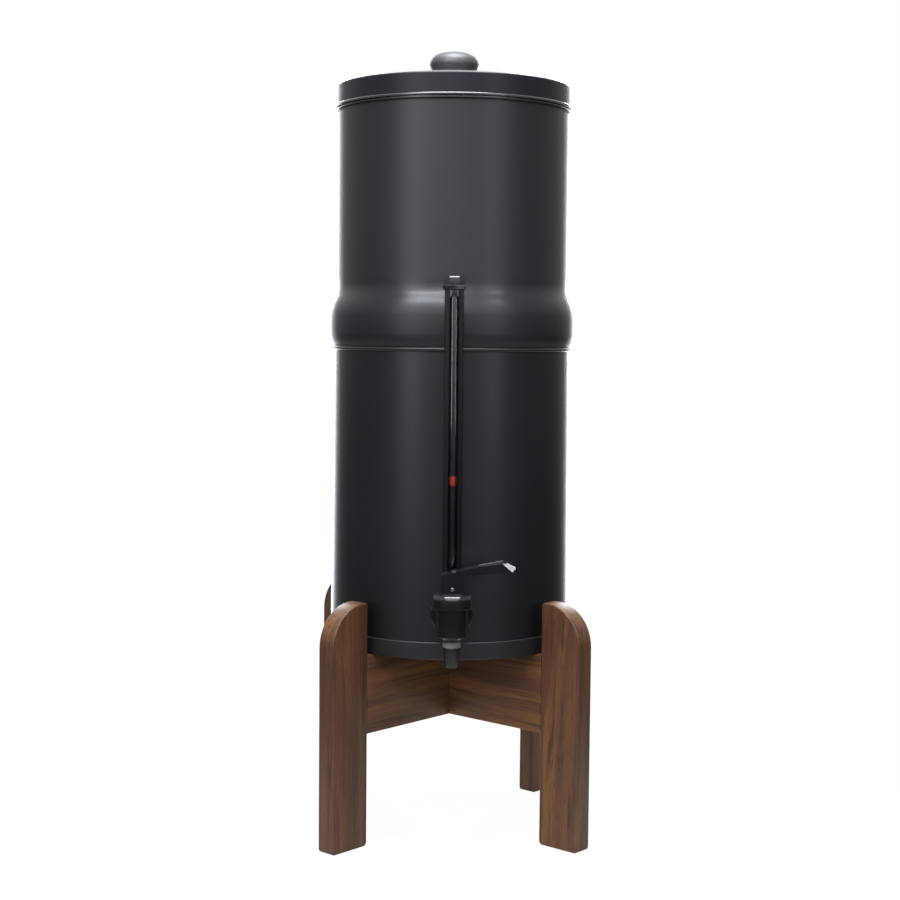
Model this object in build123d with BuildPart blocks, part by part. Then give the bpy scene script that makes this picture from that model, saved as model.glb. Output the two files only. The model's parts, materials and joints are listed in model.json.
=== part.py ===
from build123d import *
import math
import os

# Gravity water filter: two stacked sheet-steel vessels on a crossed wooden stand.
# Millimetres. +Z is up, the origin is on the floor on the vessels' common axis,
# and the tap and its sight gauge face -Y.

# ---- Fits ------------------------------------------------------------------
FIT = 0.03            # radial gap of parts screwed, glued or pressed together
RUNNING_GAP = 0.06    # radial gap of a shaft that turns or slides in its hole
LOOSE_GAP = 0.3       # gap between bodies that lift apart
FIXING_GAP = 0.3      # radial gap of a clamping screw, stem or shank in its hole
CONTACT_GAP = 0.1     # gap under a moving piece that rests on its stop

# ---- Lower vessel ----------------------------------------------------------
SHEET = 1.2           # steel sheet
LOWER_TOP_R = 118.0   # outer radius of the wall under the rim
LOWER_TAPER = 1.8     # how much wider the wall is above the foot ring
LOWER_HEIGHT = 292.2  # vessel's underside to the top of its rim bead
LOWER_CORNER_R = 7.0  # bend between the floor and the wall
RIM_BEAD_R = 2.05     # rolled bead around the mouth
RIM_BEAD_OUT = 0.7    # bead's centre outside the wall's outer face
RING_PROUD = 1.2      # foot ring outside the wall above it
RING_HEIGHT = 16.7
RING_LIP = 3.0        # ring's thickness under the vessel
RING_WALL = 3.2       # ring's thickness beside the vessel
RING_LIP_WIDTH = 18.0
STEP_BLEND = 2.0      # height over which the wall steps out above the ring

# ---- Stand -----------------------------------------------------------------
SEAT_HEIGHT = 185.4   # top of the crossed beams
BOARD = 19.4          # thickness of the legs and beams
LEG_WIDTH = 46.2
LEG_RISE = 51.0       # leg above the seat
LEG_GAP = 6.3         # foot ring to leg
LEG_CROWN_R = 40.0    # big round on the outer top corner
LEG_HEEL_R = 3.0      # small round on the inner top corner
LEG_FOOT_R = 4.0      # rounds under the foot
BOARD_EASE = 1.4      # eased edges of the legs
BEAM_EASE = 1.0       # eased edges of the beams
BEAM_DEPTH = 76.0
LAP_GAP = 0.1         # each side of the halving joint
STAND_TURN = 2.4      # degrees that the stand is turned under the vessel
DOWEL_R = 4.0
DOWEL_LENGTH = 30.0
DOWEL_SPACING = 40.0
DOWEL_END_GAP = 1.0

# ---- Upper vessel ----------------------------------------------------------
UPPER_RISE = 233.4    # lower rim to the top of the upper rim flange
BULGE_OUT = 3.2       # bulge outside the lower vessel's wall
SHOULDER_IN = 7.3     # straight wall inside the bulge
SHOULDER_TOP = 61.0   # heights above the lower rim where the shoulder turns
SHOULDER_FOOT = 35.5
BULGE_FOOT = 8.5
SHOULDER_TOP_BEND = 40.0
SHOULDER_FOOT_BEND = 55.0
BULGE_FOOT_BEND = 24.0
LEDGE_BEND = 1.3
SPIGOT_GAP = 0.8      # radial gap around the part that nests in the lower vessel
SPIGOT_DEPTH = 22.0
SPIGOT_BEND = 6.0
TOP_FLANGE = 4.4      # rim flange outside the straight wall

# ---- Lid -------------------------------------------------------------------
LID_PROUD = 2.7       # lid's skirt outside the straight wall
LID_SKIRT = 21.7      # flange to the top of the skirt
LID_FLANGE = 1.9      # lid's flange outside its skirt
LID_BEAD_R = 1.3      # rolled edge of the lid's flange
LID_CORNER_R = 1.3
LID_SHOULDER = 4.0    # straight start of the crown, inside the skirt
LID_SLOPE = 0.22      # rise of the shoulder for each millimetre inward
LID_CROWN = 12.7      # rise of the lid from its edge to its centre
LOCATING_DEPTH = 10.0
LOCATING_FLANGE = 9.0
KNOB_R = 24.8
KNOB_BASE_R = 22.0
KNOB_HEIGHT = 21.9
KNOB_SKIRT = 9.1      # straight part of the knob under its cap
KNOB_SEAM = 0.5       # groove between the knob and its cap
KNOB_EASE = 1.0
KNOB_SHOULDER_IN = 5.9    # cap's shoulder inside its rim
KNOB_SHOULDER_DOWN = 3.4  # cap's shoulder below its top
KNOB_SPACER_R = 10.0
KNOB_SPACER_HEIGHT = 1.2
KNOB_SCREW_R = 2.5
KNOB_SCREW_HEAD_R = 4.75
KNOB_SCREW_HEAD = 3.0
KNOB_SCREW_GRIP = 9.0

# ---- Filter candles --------------------------------------------------------
CANDLE_SPREAD = 48.0  # each candle's distance from the axis, along X
CANDLE_R = 25.0
CANDLE_HEIGHT = 128.0
CANDLE_WALL = 8.0
CANDLE_BASE_R = 27.0
CANDLE_BASE_HEIGHT = 10.0
CANDLE_RECESS = 3.0
CANDLE_STEM_R = 6.0
CANDLE_STEM_BORE_R = 2.5
CANDLE_STEM_LENGTH = 34.0
CANDLE_WASHER_R = 12.0
CANDLE_WASHER = 2.5
CANDLE_NUT_R = 10.0
CANDLE_NUT_HEIGHT = 8.0
CANDLE_WING_SPAN = 34.0
CANDLE_WING_THICK = 3.0
CANDLE_WING_RISE = 13.0
CANDLE_WING_R = 4.3
CANDLE_EASE = 0.5

# ---- Tap -------------------------------------------------------------------
TAP_HEIGHT = 46.8     # shank axis above the seat
SHANK_R = 8.0
SHANK_BORE_R = 5.2
SHANK_INSIDE = 21.0   # shank inside the lower vessel
TAP_WASHER_R = 17.0
TAP_SEAL = 1.5
TAP_SEAL_R = 13.0
TAP_FLANGE_R = 14.0
TAP_FLANGE = 3.5
TAP_NECK_R = 10.0
TAP_NECK = 3.8
TAP_BODY_R = 15.0
TAP_BODY_UP = 10.1    # body's shoulder above the shank axis
TAP_BODY_DOWN = 16.3  # end of the straight body below the shank axis
TAP_CONE = 4.0
TAP_WAIST_R = 8.05
TAP_WAIST = 6.3
SPOUT_TOP_R = 8.4
SPOUT_END_R = 6.6
SPOUT_LENGTH = 18.4
SPOUT_BORE_R = 4.6
CHAMBER_R = 10.5
CHAMBER_DOWN = 13.0   # chamber floor below the shank axis
SEAT_RING_R = 6.6
SEAT_RING_RISE = 2.0
COLLAR_R = 13.2       # threaded collar inside the bonnet
COLLAR_RISE = 8.0
BONNET_R = 19.0
BONNET_HEIGHT = 12.6
BONNET_APOTHEM = 18.4
BONNET_SIDES = 8
BONNET_BEVEL_IN = 1.9
BONNET_BEVEL_DOWN = 3.4
BONNET_SEAL = 1.0
STEM_R = 3.5
STEM_COLLAR_R = 6.6
STEM_COLLAR = 2.0
CUP_R = 8.6
CUP_HEIGHT = 5.5
CUP_SOCKET = 3.5
CUP_EASE = 1.0
CUP_GRIP_R = 2.2      # stem's foot inside the cup
PIN_R = 1.9
PIN_RISE = 5.1        # pin's axis above the bonnet
PIN_PROUD = 0.3       # pin's ends past the lever's cheeks
SPRING_WIRE = 1.2
SPRING_R = 5.2
SPRING_TURNS = 5
LEVER_HALF = 10.6     # half the lever foot's width
LEVER_BLOCK = 17.0    # lever's width along the pin
LEVER_FOOT_R = 1.0
LEVER_BLOCK_TOP = 18.4
LEVER_REACH = 57.5    # pin to the paddle's tip
LEVER_MID = 24.6      # where the paddle's slope eases
LEVER_MID_TOP = 26.4
LEVER_MID_UNDER = 19.1
LEVER_END_TOP = 30.2
LEVER_END_UNDER = 22.3
LEVER_END_INSET = 3.0   # underside's end before the tip
LEVER_END_BEVEL = 7.5   # top's end before the tip
LEVER_SWEEP_R = 30.0
LEVER_TIP_HIGH = 26.7
LEVER_TIP_LOW = 24.8
LEVER_PADDLE = 24.0   # paddle's width near its tip
LEVER_PADDLE_R = 2.5
LEVER_EASE = 0.5
LEVER_POCKET_HALF = 6.9
LEVER_POCKET_TOP = 12.0
NUT_FLAT = 26.0
NUT_HEIGHT = 7.0
NUT_EASE = 1.0
INNER_WASHER_R = 14.0
INNER_WASHER = 2.0

# ---- Sight gauge -----------------------------------------------------------
GAUGE_CLEAR = 0.5     # bulge to the gauge's cap as the upper vessel lifts past it
GAUGE_R = 8.95
GAUGE_RISE = 301.6    # shank axis to the top of the shell
EYELET_R = 20.0
EYELET_BEHIND = 0.3   # eyelet's back face behind the shell
EYELET = 13.9         # eyelet's thickness along the shank
EYELET_EASE = 1.2
EYELET_GROOVE_R = 11.0
EYELET_GROOVE = 6.0
FEED_R = 3.0
GLASS_R = 5.5
GLASS_BORE_R = 4.6
GLASS_SOCKET = 27.0   # shank axis to the glass's lower end
GLASS_END_GAP = 0.8   # glass to the cap
GLASS_GAP = 0.12
SEAL_RING_R = 7.0
SEAL_RING = 2.5
SLOT_WIDTH = 8.7
SLOT_FOOT = 34.0      # shank axis to the slot's lower end
SLOT_HEAD = 4.6       # slot's upper end below the shell's top
FLOAT_R = 4.35
FLOAT_LENGTH = 9.7
FLOAT_EDGE_R = 1.9
FLOAT_RISE = 124.2    # shank axis to the float's centre
CAP_COLLAR_R = 10.85
CAP_COLLAR = 4.3
CAP_FLUTES = 28
CAP_FLUTE_R = 0.55
CAP_HEX_R = 9.9       # to the corners
CAP_HEX = 8.3
CAP_BEVEL = 1.3
CAP_PLUG = 5.6
CAP_VENT_R = 1.0

# ---- Radii, heights and places that follow ---------------------------------
LOWER_FOOT_R = LOWER_TOP_R + LOWER_TAPER
RING_R = LOWER_FOOT_R + RING_PROUD
BULGE_R = LOWER_TOP_R + BULGE_OUT
UPPER_R = BULGE_R - SHOULDER_IN
SPIGOT_R = LOWER_TOP_R - SHEET - SPIGOT_GAP
TOP_FLANGE_R = UPPER_R + TOP_FLANGE
LID_R = UPPER_R + LID_PROUD
LID_FLANGE_R = LID_R + LID_FLANGE
LOWER_FLOOR = SEAT_HEIGHT + RING_LIP
RIM_TOP = LOWER_FLOOR + LOWER_HEIGHT
RING_TOP = SEAT_HEIGHT + RING_HEIGHT
LEG_INNER = RING_R + LEG_GAP
LEG_OUTER = LEG_INNER + LEG_WIDTH
LEG_HEIGHT = SEAT_HEIGHT + LEG_RISE
BEAM_FOOT = SEAT_HEIGHT - BEAM_DEPTH
LEDGE = RIM_TOP + CONTACT_GAP + SHEET / 2
UPPER_TOP = RIM_TOP + UPPER_RISE
UPPER_FLOOR = RIM_TOP - SPIGOT_DEPTH
LID_FOOT = UPPER_TOP + CONTACT_GAP
LID_EDGE = LID_FOOT + LID_SKIRT
KNOB_FOOT = LID_EDGE + LID_CROWN + KNOB_SPACER_HEIGHT
SHANK_Z = SEAT_HEIGHT + TAP_HEIGHT

os.makedirs("parts", exist_ok=True)


def lower_wall_r(height):
    """Outer radius of the lower vessel's wall at a height above the floor."""
    top = RIM_TOP - RIM_BEAD_R
    share = (height - RING_TOP) / (top - RING_TOP)
    return LOWER_FOOT_R + (LOWER_TOP_R - LOWER_FOOT_R) * share


INNER_FACE = SHEET - lower_wall_r(SHANK_Z)
GAUGE_Y = -(BULGE_R + GAUGE_CLEAR + CAP_COLLAR_R)
EYELET_BACK = GAUGE_Y + GAUGE_R + EYELET_BEHIND
EYELET_FRONT = EYELET_BACK - EYELET
SEAL_FRONT = EYELET_FRONT - TAP_SEAL
TAP_FLANGE_FRONT = SEAL_FRONT - TAP_FLANGE
TAP_Y = TAP_FLANGE_FRONT - TAP_NECK - TAP_BODY_R
BODY_TOP = SHANK_Z + TAP_BODY_UP
BONNET_FACE = BODY_TOP + BONNET_HEIGHT
PIN_Z = BONNET_FACE + PIN_RISE
CHAMBER_FLOOR = SHANK_Z - CHAMBER_DOWN
CUP_FOOT = CHAMBER_FLOOR + SEAT_RING_RISE + CONTACT_GAP
STEM_FOOT = CUP_FOOT + CUP_HEIGHT
GAUGE_TOP = SHANK_Z + GAUGE_RISE
GLASS_FOOT = SHANK_Z + GLASS_SOCKET
GLASS_TOP = GAUGE_TOP - GLASS_END_GAP
TAP_PLANE = Plane.XZ.offset(-TAP_Y)
TAP_AXIS = Axis((0, TAP_Y, 0), (0, 0, 1))


def finish(piece, name):
    """Label a finished piece and write it."""
    piece.label = name
    export_step(piece, f"parts/{name}.step")


def radial_plane(angle):
    """Upright plane through the axis: X outwards at the angle, Y up."""
    across = math.radians(angle)
    return Plane(
        origin=(0, 0, 0),
        x_dir=(math.cos(across), math.sin(across), 0),
        z_dir=(math.sin(across), -math.cos(across), 0),
    )


# ---- Stand -----------------------------------------------------------------
LEG_ANGLES = {
    "leg_front_left": 225 + STAND_TURN,
    "leg_front_right": 315 + STAND_TURN,
    "leg_back_right": 45 + STAND_TURN,
    "leg_back_left": 135 + STAND_TURN,
}
DOWEL_MID = BEAM_FOOT + BEAM_DEPTH / 2
DOWEL_HEIGHTS = [DOWEL_MID - DOWEL_SPACING / 2, DOWEL_MID + DOWEL_SPACING / 2]
DOWEL_HOLE_DEPTH = DOWEL_LENGTH / 2 + DOWEL_END_GAP

for leg_name, leg_angle in LEG_ANGLES.items():
    leg_plane = radial_plane(leg_angle)
    with BuildPart() as leg:
        with BuildSketch(leg_plane):
            with BuildLine():
                FilletPolyline(
                    (LEG_INNER, 0),
                    (LEG_OUTER, 0),
                    (LEG_OUTER, LEG_HEIGHT),
                    (LEG_INNER, LEG_HEIGHT),
                    radius=[LEG_FOOT_R, LEG_FOOT_R, LEG_CROWN_R, LEG_HEEL_R],
                    close=True,
                )
            make_face()
        extrude(amount=BOARD / 2, both=True)
        broad_faces = leg.faces().sort_by(SortBy.AREA)[-2:]
        fillet(broad_faces.edges(), radius=BOARD_EASE)
        inner_plane = Plane(
            origin=leg_plane.from_local_coords((LEG_INNER, 0, 0)),
            x_dir=leg_plane.z_dir,
            z_dir=-leg_plane.x_dir,
        )
        with BuildSketch(inner_plane) as dowel_holes:
            with Locations(*[(0, inner_plane.y_dir.Z * height) for height in DOWEL_HEIGHTS]):
                Circle(DOWEL_R + FIT)
        extrude(amount=-DOWEL_HOLE_DEPTH, mode=Mode.SUBTRACT)
    finish(leg.part, leg_name)

BEAMS = {
    "beam_over": (225 + STAND_TURN, BEAM_FOOT),
    "beam_under": (315 + STAND_TURN, SEAT_HEIGHT),
}
for beam_name, (beam_angle, notch_edge) in BEAMS.items():
    beam_plane = radial_plane(beam_angle)
    with BuildPart() as beam:
        with BuildSketch(beam_plane):
            with Locations((0, DOWEL_MID)):
                Rectangle(2 * LEG_INNER, BEAM_DEPTH)
        extrude(amount=BOARD / 2, both=True)
        long_edges = beam.edges().filter_by(lambda edge: edge.length > LEG_INNER)
        fillet(long_edges, radius=BEAM_EASE)
        with BuildSketch(beam_plane):
            with Locations((0, notch_edge)):
                Rectangle(BOARD + 2 * LAP_GAP, BEAM_DEPTH + LAP_GAP)
        extrude(amount=BOARD, both=True, mode=Mode.SUBTRACT)
        for side in (-1, 1):
            end_plane = Plane(
                origin=beam_plane.from_local_coords((side * LEG_INNER, 0, 0)),
                x_dir=beam_plane.z_dir,
                z_dir=side * beam_plane.x_dir,
            )
            with BuildSketch(end_plane):
                with Locations(*[(0, end_plane.y_dir.Z * height) for height in DOWEL_HEIGHTS]):
                    Circle(DOWEL_R + FIT)
            extrude(amount=-DOWEL_HOLE_DEPTH, mode=Mode.SUBTRACT)
    finish(beam.part, beam_name)

with BuildPart() as dowels:
    for leg_angle in LEG_ANGLES.values():
        outward = radial_plane(leg_angle).x_dir
        for height in DOWEL_HEIGHTS:
            dowel_start = outward * (LEG_INNER - DOWEL_LENGTH / 2) + Vector(0, 0, height)
            with BuildSketch(Plane(origin=dowel_start, z_dir=outward)):
                Circle(DOWEL_R)
            extrude(amount=DOWEL_LENGTH)
finish(dowels.part, "stand_dowels")

# ---- Lower vessel and its foot ring ------------------------------------------
STEP_R = RING_R - RING_WALL - FIT
bead_z = RIM_TOP - RIM_BEAD_R
with BuildPart() as lower_vessel:
    with BuildSketch(Plane.XZ):
        with BuildLine() as lower_line:
            FilletPolyline(
                (-SHEET, LOWER_FLOOR + SHEET / 2),
                (STEP_R - SHEET / 2, LOWER_FLOOR + SHEET / 2),
                (STEP_R - SHEET / 2, RING_TOP),
                (LOWER_FOOT_R - SHEET / 2, RING_TOP + STEP_BLEND),
                (LOWER_TOP_R - SHEET / 2, bead_z),
                radius=[LOWER_CORNER_R, SHEET, SHEET],
            )
        trace(lower_line.line, line_width=SHEET)
        Rectangle(2 * BULGE_R, 2 * UPPER_TOP, align=(Align.MIN, Align.CENTER), mode=Mode.INTERSECT)
        with Locations((LOWER_TOP_R + RIM_BEAD_OUT, bead_z)):
            Circle(RIM_BEAD_R)
    revolve(axis=Axis.Z)
    with BuildSketch(Plane.XZ):
        with Locations((0, SHANK_Z)):
            Circle(SHANK_R + FIXING_GAP)
    extrude(amount=RING_R, mode=Mode.SUBTRACT)
finish(lower_vessel.part, "lower_vessel")

with BuildPart() as base_ring:
    with BuildSketch(Plane.XZ):
        with BuildLine():
            FilletPolyline(
                (RING_R - RING_WALL - RING_LIP_WIDTH, SEAT_HEIGHT),
                (RING_R, SEAT_HEIGHT),
                (RING_R, RING_TOP),
                (RING_R - RING_WALL, RING_TOP),
                (RING_R - RING_WALL, LOWER_FLOOR),
                (RING_R - RING_WALL - RING_LIP_WIDTH, LOWER_FLOOR),
                radius=[
                    RING_LIP / 3, RING_LIP / 3, RING_WALL / 3,
                    RING_WALL / 3, LOWER_CORNER_R, RING_LIP / 3,
                ],
                close=True,
            )
        make_face()
    revolve(axis=Axis.Z)
finish(base_ring.part, "base_ring")

# ---- Upper vessel ------------------------------------------------------------
HALF = SHEET / 2
with BuildPart() as upper_vessel:
    with BuildSketch(Plane.XZ):
        with BuildLine() as upper_line:
            FilletPolyline(
                (-SHEET, UPPER_FLOOR + HALF),
                (SPIGOT_R - HALF, UPPER_FLOOR + HALF),
                (SPIGOT_R - HALF, LEDGE),
                (LOWER_TOP_R, LEDGE),
                (BULGE_R - HALF, RIM_TOP + BULGE_FOOT),
                (BULGE_R - HALF, RIM_TOP + SHOULDER_FOOT),
                (UPPER_R - HALF, RIM_TOP + SHOULDER_TOP),
                (UPPER_R - HALF, UPPER_TOP - HALF),
                (TOP_FLANGE_R, UPPER_TOP - HALF),
                radius=[
                    SPIGOT_BEND, SHEET, SHEET, BULGE_FOOT_BEND,
                    SHOULDER_FOOT_BEND, SHOULDER_TOP_BEND, LEDGE_BEND,
                ],
            )
        trace(upper_line.line, line_width=SHEET)
        Rectangle(2 * BULGE_R, 2 * UPPER_TOP, align=(Align.MIN, Align.CENTER), mode=Mode.INTERSECT)
    revolve(axis=Axis.Z)
    with Locations((-CANDLE_SPREAD, 0, UPPER_FLOOR), (CANDLE_SPREAD, 0, UPPER_FLOOR)):
        Cylinder(CANDLE_STEM_R + FIXING_GAP, 4 * SHEET, mode=Mode.SUBTRACT)
finish(upper_vessel.part, "upper_vessel")

# ---- Filter candles ------------------------------------------------------------
candle_seat = UPPER_FLOOR + SHEET
base_foot = candle_seat + CANDLE_WASHER
ceramic_foot = base_foot + CANDLE_BASE_HEIGHT - CANDLE_RECESS
nut_top = UPPER_FLOOR - CANDLE_WASHER
for side_name, side in (("left", -1), ("right", 1)):
    candle_x = side * CANDLE_SPREAD
    with BuildPart() as candle_base:
        with BuildSketch(Plane.XY.offset(base_foot)):
            with Locations((candle_x, 0)):
                Circle(CANDLE_BASE_R)
        extrude(amount=CANDLE_BASE_HEIGHT)
        with BuildSketch(Plane.XY.offset(base_foot)):
            with Locations((candle_x, 0)):
                Circle(CANDLE_STEM_R)
        extrude(amount=-CANDLE_STEM_LENGTH)
        with BuildSketch(Plane.XY.offset(ceramic_foot)):
            with Locations((candle_x, 0)):
                Circle(CANDLE_R + FIT)
        extrude(amount=CANDLE_RECESS, mode=Mode.SUBTRACT)
        with Locations((candle_x, 0, base_foot)):
            Cylinder(CANDLE_STEM_BORE_R, 3 * CANDLE_STEM_LENGTH, mode=Mode.SUBTRACT)
        fillet(candle_base.edges().group_by(Axis.Z)[-1], radius=CANDLE_EASE)
    finish(candle_base.part, f"candle_{side_name}_base")

    with BuildPart() as candle_ceramic:
        with BuildSketch(Plane(origin=(candle_x, 0, 0), x_dir=(1, 0, 0), z_dir=(0, -1, 0))):
            with BuildLine():
                inner_r = CANDLE_R - CANDLE_WALL
                dome_foot = ceramic_foot + CANDLE_HEIGHT - CANDLE_R
                Line((inner_r, ceramic_foot), (CANDLE_R, ceramic_foot))
                Line((CANDLE_R, ceramic_foot), (CANDLE_R, dome_foot))
                CenterArc((0, dome_foot), CANDLE_R, 0, 90)
                Line((0, dome_foot + CANDLE_R), (0, dome_foot + inner_r))
                CenterArc((0, dome_foot), inner_r, 90, -90)
                Line((inner_r, dome_foot), (inner_r, ceramic_foot))
            make_face()
        revolve(axis=Axis((candle_x, 0, 0), (0, 0, 1)))
    finish(candle_ceramic.part, f"candle_{side_name}_ceramic")

    with BuildPart() as candle_washers:
        with BuildSketch(Plane.XY.offset(candle_seat), Plane.XY.offset(nut_top)):
            with Locations((candle_x, 0)):
                Circle(CANDLE_WASHER_R)
                Circle(CANDLE_STEM_R + FIXING_GAP, mode=Mode.SUBTRACT)
        extrude(amount=CANDLE_WASHER)
    finish(candle_washers.part, f"candle_{side_name}_washers")

    with BuildPart() as candle_nut:
        with BuildSketch(Plane.XY.offset(nut_top)):
            with Locations((candle_x, 0)):
                Circle(CANDLE_NUT_R)
        extrude(amount=-CANDLE_NUT_HEIGHT)
        with BuildSketch(Plane.XZ):
            with Locations((candle_x, nut_top)):
                Rectangle(CANDLE_WING_SPAN, CANDLE_WING_RISE, align=(Align.CENTER, Align.MAX))
        extrude(amount=CANDLE_WING_THICK / 2, both=True)
        wing_tips = candle_nut.edges().filter_by(Axis.Y).group_by(Axis.Z)[0]
        fillet(wing_tips, radius=CANDLE_WING_R)
        with Locations((candle_x, 0, nut_top)):
            Cylinder(CANDLE_STEM_R + FIT, 3 * CANDLE_WING_RISE, mode=Mode.SUBTRACT)
    finish(candle_nut.part, f"candle_{side_name}_wing_nut")

# ---- Lid, its locating ring and its knob -----------------------------------------
bead_z = LID_FOOT + LID_BEAD_R
with BuildPart() as lid:
    with BuildSketch(Plane.XZ):
        with BuildLine() as lid_line:
            skirt = FilletPolyline(
                (LID_FLANGE_R - LID_BEAD_R / 3, bead_z),
                (LID_R - HALF, bead_z),
                (LID_R - HALF, LID_EDGE - HALF),
                (LID_R - HALF - LID_SHOULDER, LID_EDGE - HALF + LID_SLOPE * LID_SHOULDER),
                radius=[SHEET, LID_CORNER_R],
            )
            Spline(
                skirt @ 1,
                (KNOB_SCREW_R + FIXING_GAP, LID_EDGE - HALF + LID_CROWN),
                tangents=[skirt % 1, (-1, 0)],
            )
        trace(lid_line.line, line_width=SHEET)
        with Locations((LID_FLANGE_R - LID_BEAD_R, bead_z)):
            Circle(LID_BEAD_R)
    revolve(axis=Axis.Z)
finish(lid.part, "lid")

locating_r = UPPER_R - SHEET - 2 * LOOSE_GAP
with BuildPart() as locating_ring:
    with BuildSketch(Plane.XZ):
        with BuildLine():
            Polyline(
                (locating_r, LID_FOOT - LOCATING_DEPTH),
                (locating_r, LID_FOOT + LOCATING_FLANGE - SHEET),
                (LID_R - SHEET - FIT, LID_FOOT + LOCATING_FLANGE - SHEET),
                (LID_R - SHEET - FIT, LID_FOOT + LOCATING_FLANGE),
                (locating_r - SHEET, LID_FOOT + LOCATING_FLANGE),
                (locating_r - SHEET, LID_FOOT - LOCATING_DEPTH),
                close=True,
            )
        make_face()
    revolve(axis=Axis.Z)
finish(locating_ring.part, "lid_locating_ring")

knob_top = KNOB_FOOT + KNOB_HEIGHT
crown_z = LID_EDGE + LID_CROWN
insert_bore_r = KNOB_SCREW_R + FIT
with BuildPart() as knob:
    with BuildSketch(Plane.XZ):
        with BuildLine():
            seam_z = KNOB_FOOT + KNOB_SKIRT
            rim_z = seam_z + KNOB_SEAM
            Polyline(
                (0, KNOB_FOOT),
                (KNOB_BASE_R, KNOB_FOOT),
                (KNOB_R, seam_z),
                (KNOB_R - KNOB_SEAM, seam_z),
                (KNOB_R - KNOB_SEAM, rim_z),
                (KNOB_R, rim_z),
            )
            Spline(
                (KNOB_R, rim_z),
                (KNOB_R - KNOB_SHOULDER_IN, knob_top - KNOB_SHOULDER_DOWN),
                (0, knob_top),
                tangents=[(0, 1), (-1, 0)],
            )
            Line((0, knob_top), (0, KNOB_FOOT))
        make_face()
    revolve(axis=Axis.Z)
    fillet(knob.edges().filter_by(GeomType.CIRCLE).group_by(Axis.Z)[0], radius=KNOB_EASE)
    with BuildSketch(Plane.XY.offset(KNOB_FOOT)):
        Circle(insert_bore_r)
    extrude(amount=KNOB_SCREW_GRIP + FIT, mode=Mode.SUBTRACT)
finish(knob.part, "lid_knob")

with BuildPart() as knob_spacer:
    with BuildSketch(Plane.XY.offset(crown_z)):
        Circle(KNOB_SPACER_R)
        Circle(KNOB_SCREW_R + FIXING_GAP, mode=Mode.SUBTRACT)
    extrude(amount=KNOB_SPACER_HEIGHT)
finish(knob_spacer.part, "knob_spacer")

screw_face = crown_z - SHEET - FIT
with BuildPart() as knob_screw:
    with BuildSketch(Plane.XY.offset(screw_face)):
        Circle(KNOB_SCREW_HEAD_R)
    extrude(amount=-KNOB_SCREW_HEAD)
    fillet(knob_screw.edges().group_by(Axis.Z)[0], radius=KNOB_SCREW_HEAD / 2)
    with BuildSketch(Plane.XY.offset(screw_face)):
        Circle(KNOB_SCREW_R)
    extrude(amount=KNOB_FOOT + KNOB_SCREW_GRIP - screw_face)
finish(knob_screw.part, "knob_screw")

# ---- Tap -----------------------------------------------------------------------
shank_tip = INNER_FACE + SHANK_INSIDE
spout_top = SHANK_Z - TAP_BODY_DOWN - TAP_CONE - TAP_WAIST
spout_end = spout_top - SPOUT_LENGTH


def shank_disc(back, front, radius, bore=None):
    """Disc or washer on the shank's axis, between two places along Y."""
    with BuildPart() as disc:
        with BuildSketch(Plane(origin=(0, back, SHANK_Z), x_dir=(1, 0, 0), z_dir=(0, -1, 0))):
            Circle(radius)
            if bore:
                Circle(bore, mode=Mode.SUBTRACT)
        extrude(amount=back - front)
    return disc.part


def upright_tube(y_place, foot, top, radius):
    """Solid cylinder that stands at a place along Y, for cutting and joining."""
    with BuildPart() as tube:
        with BuildSketch(Plane.XY.offset(foot)):
            with Locations((0, y_place)):
                Circle(radius)
        extrude(amount=top - foot)
    return tube.part


def wall_space(offset):
    """Solid tapered like the lower vessel's wall, at an offset from its outer face."""
    foot = RING_TOP + STEP_BLEND
    top = RIM_TOP - 2 * RIM_BEAD_R
    with BuildPart() as space:
        with Locations((0, 0, foot)):
            Cone(
                lower_wall_r(foot) + offset, lower_wall_r(top) + offset, top - foot,
                align=(Align.CENTER, Align.CENTER, Align.MIN),
            )
    return space.part


collar_top = BODY_TOP + COLLAR_RISE
seat_top = CHAMBER_FLOOR + SEAT_RING_RISE
feed_y = (EYELET_BACK + EYELET_FRONT) / 2
with BuildPart() as tap_body:
    with BuildSketch(TAP_PLANE):
        with BuildLine():
            Polyline(
                (0, spout_end),
                (SPOUT_END_R, spout_end),
                (SPOUT_TOP_R, spout_top),
                (TAP_WAIST_R, spout_top),
                (TAP_WAIST_R, spout_top + TAP_WAIST),
                (TAP_BODY_R, SHANK_Z - TAP_BODY_DOWN),
                (TAP_BODY_R, BODY_TOP),
                (COLLAR_R, BODY_TOP),
                (COLLAR_R, collar_top),
                (0, collar_top),
                close=True,
            )
        make_face()
    revolve(axis=TAP_AXIS)
    add(shank_disc(shank_tip, TAP_Y, SHANK_R))
    add(shank_disc(SEAL_FRONT, TAP_FLANGE_FRONT, TAP_FLANGE_R))
    add(shank_disc(TAP_FLANGE_FRONT, TAP_Y, TAP_NECK_R))
    with BuildSketch(TAP_PLANE):
        with BuildLine():
            Polyline(
                (0, spout_end),
                (SPOUT_BORE_R, spout_end),
                (SPOUT_BORE_R, seat_top),
                (SEAT_RING_R, seat_top),
                (SEAT_RING_R, CHAMBER_FLOOR),
                (CHAMBER_R, CHAMBER_FLOOR),
                (CHAMBER_R, collar_top),
                (0, collar_top),
                close=True,
            )
        make_face()
    revolve(axis=TAP_AXIS, mode=Mode.SUBTRACT)
    add(shank_disc(shank_tip, TAP_Y, SHANK_BORE_R), mode=Mode.SUBTRACT)
    add(upright_tube(feed_y, SHANK_Z, SHANK_Z + EYELET_GROOVE_R, FEED_R), mode=Mode.SUBTRACT)
finish(tap_body.part, "tap_body")

with BuildPart() as outer_washer:
    add(shank_disc(0, EYELET_BACK, TAP_WASHER_R, SHANK_R + FIXING_GAP))
    add(wall_space(FIT), mode=Mode.SUBTRACT)
finish(outer_washer.part, "tap_washer_outer")

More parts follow.
